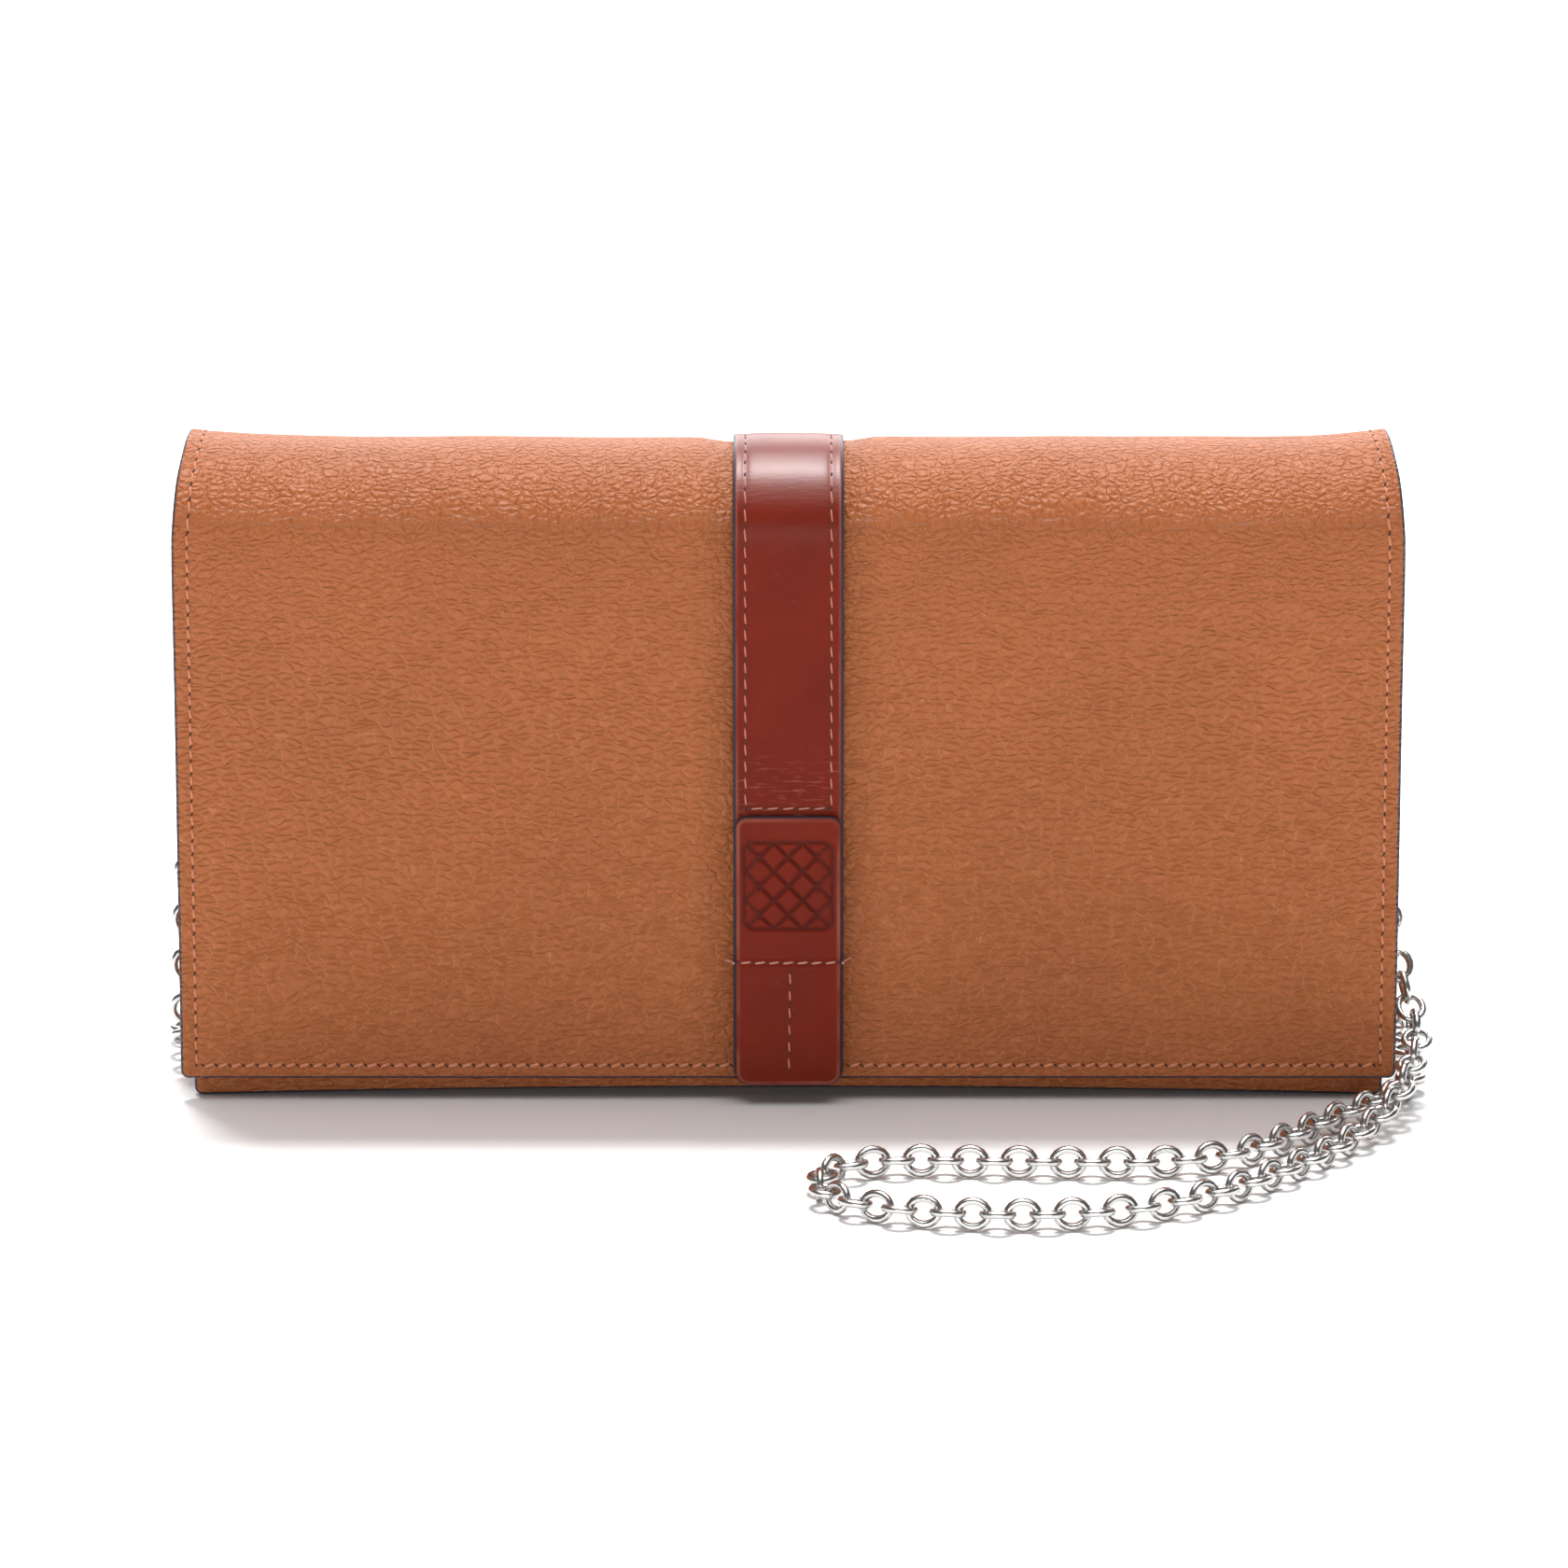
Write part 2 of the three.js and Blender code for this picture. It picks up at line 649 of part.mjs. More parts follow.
for (const [side, sign] of Object.entries(SIDES)) {
  add(`zip_stop_${side}`, zipStop(sign), STEEL);
  add(`gusset_back_${side}`, gussetBack(sign), TAN);
  add(`gusset_front_${side}`, gussetFront(sign), TAN);
  add(`ring_tab_${side}`, ringTab(sign), RUSSET);
  add(`d_ring_${side}`, dRing(sign), STEEL);
  add(`clasp_${side}`, clasp(sign), STEEL);
  add(`clasp_gate_${side}`, claspGate(sign), STEEL);
}
add("chain_left", chainTube(LEFT_DROP, 14), STEEL);
add("chain_hank", chainHank(), STEEL);
add("chain_right_rear", chainTube(RIGHT_REAR, 18), STEEL);
add("chain_right_front", chainTube(RIGHT_FRONT, 18), STEEL);

export default model;
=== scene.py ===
# %% [markdown]
# # A chain wallet, piece by piece
# The wallet stands on a pale floor: a tan grained flap, a russet strap down its middle and a silver
# chain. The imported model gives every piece's size and place. This script gives each one its shape and
# finish. Lengths below are in millimetres, and become metres when a mesh is made.

# %% Load the frame
import json
import math

import bmesh
import bpy
import numpy as np
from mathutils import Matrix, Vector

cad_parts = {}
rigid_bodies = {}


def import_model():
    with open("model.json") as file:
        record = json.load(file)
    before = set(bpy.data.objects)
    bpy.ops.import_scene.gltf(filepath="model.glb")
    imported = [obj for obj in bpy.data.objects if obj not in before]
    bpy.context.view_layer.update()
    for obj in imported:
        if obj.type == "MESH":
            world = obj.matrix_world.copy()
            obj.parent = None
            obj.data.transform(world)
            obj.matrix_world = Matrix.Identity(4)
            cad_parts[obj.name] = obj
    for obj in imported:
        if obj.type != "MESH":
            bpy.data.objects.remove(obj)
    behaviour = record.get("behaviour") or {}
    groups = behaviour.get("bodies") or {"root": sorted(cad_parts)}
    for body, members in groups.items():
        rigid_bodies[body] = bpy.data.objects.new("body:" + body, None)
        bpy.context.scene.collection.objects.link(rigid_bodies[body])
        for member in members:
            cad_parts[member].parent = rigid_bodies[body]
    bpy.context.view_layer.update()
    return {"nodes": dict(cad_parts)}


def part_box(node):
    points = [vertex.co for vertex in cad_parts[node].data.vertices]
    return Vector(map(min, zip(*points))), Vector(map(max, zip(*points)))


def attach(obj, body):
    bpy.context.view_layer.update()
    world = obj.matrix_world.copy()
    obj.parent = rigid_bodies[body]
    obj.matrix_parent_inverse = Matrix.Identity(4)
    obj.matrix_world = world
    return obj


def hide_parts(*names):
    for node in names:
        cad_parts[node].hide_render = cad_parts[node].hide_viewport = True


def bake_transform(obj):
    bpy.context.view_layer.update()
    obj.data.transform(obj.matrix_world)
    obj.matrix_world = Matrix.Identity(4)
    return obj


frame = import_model()
MM = 0.001


def box(node):
    """A node's lowest and highest corners, in millimetres."""
    low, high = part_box(node)
    return np.array(low) / MM, np.array(high) / MM


# %% [markdown]
# ## The view
# A long lens a good way off keeps the wallet's edges nearly square. The camera looks straight at the
# flap from a little above, so it is placed by a distance, a tilt and the point it looks at. A camera
# could also be aimed with a constraint, but plain sums keep it fixed.

# %% Camera
VIEW = {"distance": 1.38, "tilt": math.radians(14.5), "aim": (-0.0007, -0.014, 0.0539), "lens": 194.2}


def add_camera():
    data = bpy.data.cameras.new("view")
    data.lens = VIEW["lens"]
    data.sensor_width = 36
    data.clip_start = 0.05
    camera = bpy.data.objects.new("view", data)
    bpy.context.scene.collection.objects.link(camera)
    x, y, z = VIEW["aim"]
    back = VIEW["distance"] * math.cos(VIEW["tilt"])
    camera.location = (x, y - back, z + VIEW["distance"] * math.sin(VIEW["tilt"]))
    camera.rotation_euler = (math.pi / 2 - VIEW["tilt"], 0, 0)
    bpy.context.scene.camera = camera


add_camera()

# %% [markdown]
# ## The chain's route
# The chain is 1.2 m long. From the left snap hook it hangs down the side, runs round the back, lies
# there in a hank of long turns, comes round the right side, makes a loop in front and climbs to the
# right snap hook. A limp thing like this is easiest to lay as one smooth curve through chosen points:
# a Catmull-Rom curve passes through each point and needs no handles. The hank's turns follow a rule,
# so a loop works them out.

# %% Route points
clasp_low, clasp_high = box("clasp_left")
pocket_low, pocket_high = box("pocket_frame")
hank_low, hank_high = box("chain_hank")
CHAIN_WIDTH = 5.4
FLOOR_Z = CHAIN_WIDTH / 2
MID_Y = (pocket_low[1] + pocket_high[1]) / 2
EYE_X = -(clasp_low[0] + clasp_high[0]) / 2
EYE_Z = clasp_low[2] + 2.6
HANK_BEND = 10.8
HANK_Y = (hank_low[1] + hank_high[1]) / 2
HANK_RUN = hank_high[0] - hank_low[0] - 2 * HANK_BEND - CHAIN_WIDTH
HANK_LAYER = 5.6
HANK_TURNS = 2
HANK_STEP = 8
SIDE_X = 103.2
FAR_Y = HANK_Y + HANK_BEND
HANK_END = HANK_RUN / 2 + 11.3

LEFT_DROP = [
    (-EYE_X, MID_Y, EYE_Z - 3.2),
    (-96.6, MID_Y, EYE_Z - 14),
    (-98.6, MID_Y, 40),
    (-99.4, 0.4, 28),
    (-99.9, 0.4, 15.2),
    (-100.2, 2, 9.2),
    (-100.6, 6.4, 4.7),
    (-101.2, 12.5, 3),
    (-101.6, 22, FLOOR_Z),
    (-100.4, 32, FLOOR_Z),
    (-95.6, 41.6, FLOOR_Z),
    (-86.4, 47.4, FLOOR_Z),
    (-74, FAR_Y, FLOOR_Z),
    (-HANK_END, FAR_Y, FLOOR_Z),
]
RIGHT_REAR = [
    (HANK_END, FAR_Y, FLOOR_Z + HANK_TURNS * HANK_LAYER),
    (66, FAR_Y, 12.6),
    (78, 48, 6.6),
    (89, 44.4, 3.2),
    (98.4, 36, FLOOR_Z),
    (SIDE_X, 24, FLOOR_Z),
    (SIDE_X, 8, FLOOR_Z),
    (SIDE_X, -6, FLOOR_Z),
    (101, -16, FLOOR_Z),
    (95, -25, FLOOR_Z),
    (87.6, -34, FLOOR_Z),
    (80.4, -43.6, FLOOR_Z),
    (71.6, -52.6, FLOOR_Z),
    (60, -57, FLOOR_Z),
    (46, -57.4, FLOOR_Z),
    (30, -56.8, FLOOR_Z),
    (18, -56.5, FLOOR_Z),
    (11.6, -58, FLOOR_Z),
    (7, -61.8, FLOOR_Z),
    (5.1, -66.4, FLOOR_Z),
]
RIGHT_FRONT = [
    (5.1, -70.4, FLOOR_Z),
    (7, -75.2, FLOOR_Z),
    (11.6, -79.6, FLOOR_Z),
    (18, -82.6, FLOOR_Z),
    (28, -84.8, FLOOR_Z),
    (38, -85.4, FLOOR_Z),
    (51, -83.4, FLOOR_Z),
    (63.6, -76.8, FLOOR_Z),
    (74.6, -66.6, FLOOR_Z),
    (84.8, -53.6, FLOOR_Z),
    (91.6, -43, 3),
    (97.6, -32.8, 4.8),
    (101.6, -23, 8),
    (103.4, -13.6, 10.6),
    (102.6, -6.4, 14.6),
    (100.6, -2, 21),
    (98.6, 0.2, 30),
    (97.2, MID_Y, 40),
    (96.8, MID_Y, EYE_Z - 14),
    (EYE_X, MID_Y, EYE_Z - 3.2),
]


# %% Lay the route
def hank_points():
    """The hank's turns: two straight runs joined by round ends, each turn a layer higher."""
    points = []
    half = HANK_RUN / 2
    turn_length = 2 * HANK_RUN + 2 * math.pi * HANK_BEND
    total = HANK_TURNS * turn_length + HANK_RUN
    for step in range(1, int(total / HANK_STEP)):
        along = step * HANK_STEP
        on_turn = along % turn_length
        height = FLOOR_Z + min(along / turn_length, HANK_TURNS) * HANK_LAYER
        if on_turn < HANK_RUN:
            x, y = on_turn - half, HANK_BEND
        elif on_turn < HANK_RUN + math.pi * HANK_BEND:
            angle = math.pi / 2 - (on_turn - HANK_RUN) / HANK_BEND
            x, y = half + HANK_BEND * math.cos(angle), HANK_BEND * math.sin(angle)
        elif on_turn < 2 * HANK_RUN + math.pi * HANK_BEND:
            x, y = half - (on_turn - HANK_RUN - math.pi * HANK_BEND), -HANK_BEND
        else:
            angle = -math.pi / 2 - (on_turn - 2 * HANK_RUN - math.pi * HANK_BEND) / HANK_BEND
            x, y = -half + HANK_BEND * math.cos(angle), HANK_BEND * math.sin(angle)
        points.append((x, HANK_Y + y, height))
    return points


def smooth_curve(points, steps=24):
    """A centripetal Catmull-Rom curve through the points, as many short segments."""
    p = np.array(points, float)
    p = np.vstack([2 * p[0] - p[1], p, 2 * p[-1] - p[-2]])
    out = []
    for a, b, c, d in zip(p, p[1:], p[2:], p[3:]):
        k0 = 0.0
        k1 = k0 + math.sqrt(np.linalg.norm(b - a))
        k2 = k1 + math.sqrt(np.linalg.norm(c - b))
        k3 = k2 + math.sqrt(np.linalg.norm(d - c))
        for k in np.linspace(k1, k2, steps, endpoint=False):
            ab = (k1 - k) / (k1 - k0) * a + (k - k0) / (k1 - k0) * b
            bc = (k2 - k) / (k2 - k1) * b + (k - k1) / (k2 - k1) * c
            cd = (k3 - k) / (k3 - k2) * c + (k - k2) / (k3 - k2) * d
            abc = (k2 - k) / (k2 - k0) * ab + (k - k0) / (k2 - k0) * bc
            bcd = (k3 - k) / (k3 - k1) * bc + (k - k1) / (k3 - k1) * cd
            out.append((k2 - k) / (k2 - k1) * abc + (k - k1) / (k2 - k1) * bcd)
    out.append(p[-2])
    return np.array(out)


def evenly(curve, count):
    """Points spread evenly by length along a curve."""
    steps = np.linalg.norm(np.diff(curve, axis=0), axis=1)
    length = np.concatenate([[0], np.cumsum(steps)])
    at = np.linspace(0, length[-1], count)
    return np.stack([np.interp(at, length, curve[:, k]) for k in range(3)], axis=1), length[-1]


route = smooth_curve(LEFT_DROP + hank_points() + RIGHT_REAR + RIGHT_FRONT)
_, chain_length = evenly(route, 2)
LINK = {"length": 6.25, "width": CHAIN_WIDTH, "wire": 1.28}
LINK_PITCH = 3.92
link_count = 2 * round(chain_length / LINK_PITCH / 2) + 1
link_places, _ = evenly(route, link_count)
print(f"chain: {chain_length:.0f} mm, {link_count} links")

# %% [markdown]
# ## Small tools for meshes and node trees
# Most pieces here are built from lists of points and faces. One helper turns them into a mesh object
# at the origin, so that its place is in its mesh. A second makes a Geometry Nodes tree with named
# inputs, runs it on an object, and keeps the result as a plain mesh.

# %% Mesh helpers
def new_object(name, points, faces):
    """A mesh object from points in millimetres."""
    mesh = bpy.data.meshes.new(name)
    mesh.from_pydata([tuple(float(v) * MM for v in p) for p in points], [], faces)
    mesh.validate()
    mesh.shade_smooth()
    obj = bpy.data.objects.new(name, mesh)
    bpy.context.scene.collection.objects.link(obj)
    return obj


def point_cloud(name, places, **vectors):
    """Loose points that carry a vector each, for a node tree to put copies on."""
    mesh = bpy.data.meshes.new(name)
    mesh.from_pydata([tuple(float(v) * MM for v in p) for p in places], [], [])
    for key, values in vectors.items():
        layer = mesh.attributes.new(key, "FLOAT_VECTOR", "POINT")
        layer.data.foreach_set("vector", np.array(values, np.float32).ravel())
    obj = bpy.data.objects.new(name, mesh)
    bpy.context.scene.collection.objects.link(obj)
    return obj


class Tree:
    """A Geometry Nodes tree with named inputs."""

    def __init__(self, name, inputs):
        self.group = bpy.data.node_groups.new(name, "GeometryNodeTree")
        face = self.group.interface
        face.new_socket("Geometry", in_out="INPUT", socket_type="NodeSocketGeometry")
        self.ids = {}
        for label, (kind, value) in inputs.items():
            socket = face.new_socket(label, in_out="INPUT", socket_type=kind)
            if value is not None:
                socket.default_value = value
            self.ids[label] = socket.identifier
        face.new_socket("Geometry", in_out="OUTPUT", socket_type="NodeSocketGeometry")
        self.start = self.group.nodes.new("NodeGroupInput")
        self.end = self.group.nodes.new("NodeGroupOutput")

    def input(self, label):
        return self.start.outputs[label]

    def node(self, kind, settings=None, **sockets):
        """Adds a node: its settings first, then values or links for its sockets."""
        node = self.group.nodes.new(kind)
        for key, value in (settings or {}).items():
            setattr(node, key, value)
        for key, value in sockets.items():
            label = key.replace("_", " ")
            socket = next(s for s in node.inputs if s.name == label and s.enabled)
            if isinstance(value, bpy.types.NodeSocket):
                self.group.links.new(value, socket)
            else:
                socket.default_value = value
        return node

    def math(self, operation, a, b):
        node = self.node("ShaderNodeMath", {"operation": operation})
        for slot, item in zip(node.inputs, (a, b)):
            if isinstance(item, bpy.types.NodeSocket):
                self.group.links.new(item, slot)
            else:
                slot.default_value = item
        return node.outputs[0]

    def facing(self):
        """The turn that each point asks for: X along it, Y to its upper side."""
        ways = [self.node("GeometryNodeInputNamedAttribute", {"data_type": "FLOAT_VECTOR"},
                          Name=name).outputs["Attribute"] for name in ("along", "up")]
        return self.node("FunctionNodeAxesToRotation", {"primary_axis": "X", "secondary_axis": "Y"},
                         Primary_Axis=ways[0], Secondary_Axis=ways[1]).outputs[0]

    def copies(self, shape, turn, material):
        """Puts a copy of the shape on each point and ends the tree."""
        placed = self.node("GeometryNodeInstanceOnPoints", Points=self.start.outputs[0],
                           Instance=shape, Rotation=turn)
        self.finish(placed.outputs[0], material)
        return self

    def finish(self, geometry, material):
        real = self.node("GeometryNodeRealizeInstances", Geometry=geometry)
        done = self.node("GeometryNodeSetMaterial", Geometry=real.outputs[0], Material=material)
        self.group.links.new(done.outputs[0], self.end.inputs[0])


def run_tree(obj, tree, **inputs):
    """Runs a tree on an object and keeps what it makes as a plain mesh in the same object."""
    modifier = obj.modifiers.new("tree", "NODES")
    modifier.node_group = tree.group
    for label, value in inputs.items():
        modifier[tree.ids[label.replace("_", " ")]] = value
    graph = bpy.context.evaluated_depsgraph_get()
    mesh = bpy.data.meshes.new_from_object(obj.evaluated_get(graph))
    obj.modifiers.remove(modifier)
    obj.data = mesh
    mesh.shade_smooth()
    return obj


# %% [markdown]
# ## Shader tools
# Shader maths reads best as plain sums. `Value` wraps a node's socket, and adds a Math node for each
# sign in an expression. `Finish` holds one material and adds any other node by its type, its settings
# and its sockets.

# %% Shader helpers
class Value:
    """A number that varies over a surface."""

    def __init__(self, finish, socket):
        self.finish, self.socket = finish, socket

    def _math(self, operation, a, b=None, clamp=False):
        node = self.finish.tree.nodes.new("ShaderNodeMath")
        node.operation = operation
        node.use_clamp = clamp
        for slot, item in zip(node.inputs, (a, b)):
            if isinstance(item, Value):
                self.finish.tree.links.new(item.socket, slot)
            elif item is not None:
                slot.default_value = item
        return Value(self.finish, node.outputs[0])

    def __add__(self, other):
        return self._math("ADD", self, other)

    def __sub__(self, other):
        return self._math("SUBTRACT", self, other)

    def __mul__(self, other):
        return self._math("MULTIPLY", self, other)

    def __rsub__(self, other):
        return self._math("SUBTRACT", other, self)

    __radd__ = __add__
    __rmul__ = __mul__

    def clamped(self):
        return self._math("ADD", self, 0.0, clamp=True)

    def abs(self):
        return self._math("ABSOLUTE", self)

    def sin(self):
        return self._math("SINE", self)

    def step(self, low, high):
        """0 below low, 1 above high, smooth between; the other way round if low is above high."""
        node = self.finish.node(
            "ShaderNodeMapRange", {"interpolation_type": "SMOOTHSTEP"}, Value=self,
            From_Min=min(low, high), From_Max=max(low, high),
            To_Min=float(low > high), To_Max=float(low < high))
        return Value(self.finish, node.outputs[0])


class Finish:
    """A material with one Principled shader."""

    def __init__(self, name, color, rough, metal=0.0, **constants):
        self.material = bpy.data.materials.new(name)
        self.material.use_nodes = True
        self.tree = self.material.node_tree
        self.shader = self.tree.nodes["Principled BSDF"]
        self.set("Base Color", (*color, 1.0))
        self.set("Roughness", rough)
        self.set("Metallic", metal)
        for key, value in constants.items():
            self.set(key.replace("_", " "), value)
        self.place = self.node("ShaderNodeTexCoord").outputs["Object"]

    def set(self, socket, value):
        slot = self.shader.inputs[socket]
        if isinstance(value, Value):
            self.tree.links.new(value.socket, slot)
        elif isinstance(value, bpy.types.NodeSocket):
            self.tree.links.new(value, slot)
        else:
            slot.default_value = value

    def node(self, kind, settings=None, **sockets):
        node = self.tree.nodes.new(kind)
        for key, value in (settings or {}).items():
            setattr(node, key, value)
        for key, value in sockets.items():
            label = key.replace("_", " ")
            socket = next(s for s in node.inputs if s.name == label and s.enabled)
            if isinstance(value, Value):
                self.tree.links.new(value.socket, socket)
            elif isinstance(value, bpy.types.NodeSocket):
                self.tree.links.new(value, socket)
            else:
                socket.default_value = value
        return node

    def stretched(self, where, scale):
        """A place, stretched by a scale along each axis."""
        return self.node("ShaderNodeMapping", {"vector_type": "POINT"}, Vector=where,
                         Scale=scale).outputs[0]

    def noise(self, scale, detail, where=None):
        node = self.node("ShaderNodeTexNoise", Vector=where or self.place, Scale=scale, Detail=detail)
        return Value(self, node.outputs["Fac"])

    def attribute(self, name):
        return Value(self, self.node("ShaderNodeAttribute", {"attribute_name": name}).outputs["Fac"])

    def axis(self, letter, where=None):
        return Value(self, self.node("ShaderNodeSeparateXYZ", Vector=where or self.place).outputs[letter])

    def sheet_map(self):
        """Metres across and down a sheet, from its own UV map."""
        return self.node("ShaderNodeUVMap", {"uv_map": "sheet"}).outputs["UV"]

    def mix(self, amount, first, second):
        """From the first colour to the second as the amount goes from 0 to 1."""
        node = self.node("ShaderNodeMix", {"data_type": "RGBA"})
        for slot, item in ((node.inputs[0], amount), (node.inputs[6], first), (node.inputs[7], second)):
            if isinstance(item, Value):
                self.tree.links.new(item.socket, slot)
            elif isinstance(item, bpy.types.NodeSocket):
                self.tree.links.new(item, slot)
            else:
                slot.default_value = (*item, 1.0) if isinstance(item, tuple) else item
        return node.outputs[2]

    def bump(self, height, depth_mm, strength):
        """Raises the surface by a height of 0 to 1, times a depth in millimetres."""
        node = self.node("ShaderNodeBump", Height=height, Distance=depth_mm * MM, Strength=strength)
        self.set("Normal", node.outputs[0])


# %% [markdown]
# ## Polished nickel
# The chain, rings and zip are nickel plated and polished, so nearly all of their look comes from what
# they mirror. A metal needs a faint unevenness as well: hairline scratches from wear, and a slightly
# duller film in places.

# %% Nickel
def nickel(name, color=(0.62, 0.61, 0.6), rough=0.16):
    finish = Finish(name, color, rough, 1.0)
    film = finish.noise(260, 3.0)
    scuffs = finish.noise(2400, 2.0)
    finish.set("Roughness", rough + film * 0.12 + scuffs * 0.06)
    finish.set("Base Color", finish.mix((film - 0.35).clamped(), color, (0.5, 0.49, 0.48)))
    finish.bump(scuffs, 0.012, 0.35)
    return finish.material


NICKEL = nickel("nickel")

# %% [markdown]
# ## The chain's links
# Each link is a bent ring of wire, longer than it is wide. On the floor every second link lies flat
# and the ones between stand upright. A node tree bends one link and puts it on every point of the
# route, turned along the route and rolled a quarter turn on every second point. Copying objects by
# hand would do the same, but a tree keeps the wire and the link's size as inputs.

# %% Link tree
def link_tree():
    tree = Tree("chain links", {
        "Length": ("NodeSocketFloat", LINK["length"] * MM),
        "Width": ("NodeSocketFloat", LINK["width"] * MM),
        "Wire": ("NodeSocketFloat", LINK["wire"] * MM),
        "Roll": ("NodeSocketFloat", 0.0),
    })

    circle = tree.node("GeometryNodeCurvePrimitiveCircle", {"mode": "RADIUS"}, Resolution=16,
                       Radius=1.0)
    half_length, half_width = (
        tree.math("MULTIPLY", tree.math("SUBTRACT", tree.input(side), tree.input("Wire")), 0.5)
        for side in ("Length", "Width"))
    size = tree.node("ShaderNodeCombineXYZ", X=half_length, Y=half_width, Z=1.0)
    ring = tree.node("GeometryNodeTransform", Geometry=circle.outputs[0], Scale=size.outputs[0])
    half_wire = tree.math("MULTIPLY", tree.input("Wire"), 0.5)
    section = tree.node("GeometryNodeCurvePrimitiveCircle", {"mode": "RADIUS"}, Resolution=6,
                        Radius=half_wire)
    link = tree.node("GeometryNodeCurveToMesh", Curve=ring.outputs[0], Profile_Curve=section.outputs[0])

    index = tree.node("GeometryNodeInputIndex").outputs[0]
    turn = tree.math("ADD", tree.math("MULTIPLY", tree.math("MODULO", index, 2.0), math.pi / 2),
                     tree.input("Roll"))
    quarter = tree.node("FunctionNodeAxisAngleToRotation", Axis=(1.0, 0.0, 0.0), Angle=turn)
    rolled = tree.node("FunctionNodeRotateRotation", {"rotation_space": "LOCAL"},
                       Rotation=tree.facing(), Rotate_By=quarter.outputs[0])
    return tree.copies(link.outputs[0], rolled.outputs[0], NICKEL)


# %% Which way each link faces
def route_frames(places):
    """The route's direction at each link, and the side that an upright link stands towards."""
    along = np.gradient(places, axis=0)
    along /= np.linalg.norm(along, axis=1)[:, None]
    leaning = np.array([0, 0.26, 1.0])
    flat_up = leaning - along * (along @ leaning)[:, None]
    climbing_up = np.cross([1.0, 0, 0], along)
    steep = np.clip((np.abs(along[:, 2:3]) - 0.35) / 0.4, 0, 1)
    up = flat_up * (1 - steep) + climbing_up * steep
    up -= along * np.sum(up * along, axis=1)[:, None]
    return along, up / np.linalg.norm(up, axis=1)[:, None]


along, up = route_frames(link_places)
LINKS = link_tree()
END_LINKS = 7
pieces = {
    "chain_end_left": slice(0, END_LINKS),
    "chain": slice(END_LINKS, link_count - END_LINKS),
    "chain_end_right": slice(link_count - END_LINKS, link_count),
}
chain = {}
for name, part in pieces.items():
    points = point_cloud(name, link_places[part], along=along[part], up=up[part])
    first_is_flat = (part.start or 0) % 2
    chain[name] = run_tree(points, LINKS, Roll=first_is_flat * math.pi / 2)
    print(name, len(chain[name].data.polygons), "faces")

for side, sign in (("left", -1), ("right", 1)):
    end = chain[f"chain_end_{side}"]
    low = link_places[END_LINKS] if sign < 0 else link_places[link_count - END_LINKS]
    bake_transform(end)
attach(chain["chain"], "shell")
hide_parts("chain_left", "chain_hank", "chain_right_rear", "chain_right_front")

# %% [markdown]
# ## Sheets of leather
# Nearly every soft piece of a wallet is a sheet with a thickness and trimmed edges. A flat plane with
# a Solidify modifier would do, but its edges stay square. Here a line is drawn through the middle of
# the thickness and swept across a width, and the thickness shrinks in the last half millimetre, as
# an edge does that has been sanded and painted. Each sheet keeps how far every point is from the
# border, so a finish can paint the edge, and a UV map in metres, so the grain follows the fold.

# %% Where a sheet's points go
CLOSE_ROWS = [0, 0.12, 0.32, 0.6, 1.0, 1.5, 1.95, 2.4, 2.9, 3.5, 4.3]
SEAM_ROWS = [0, 0.15, 0.4, 0.8, 1.3, 2.0, 3.0]


def spaced(length, step, first, last):
    """Places along a side of a sheet, closer together beside its ends."""
    low = [c for c in first if c < 0.45 * length]
    high = [length - c for c in last if c < 0.45 * length][::-1]
    count = max(1, math.ceil((high[0] - low[-1]) / step))
    return np.array(low + list(np.linspace(low[-1], high[0], count + 1)[1:-1]) + high)


def smooth(value, low, high):
    """0 below low, 1 above high, smooth between."""
    t = np.clip((value - low) / (high - low), 0, 1)
    return t * t * (3 - 2 * t)


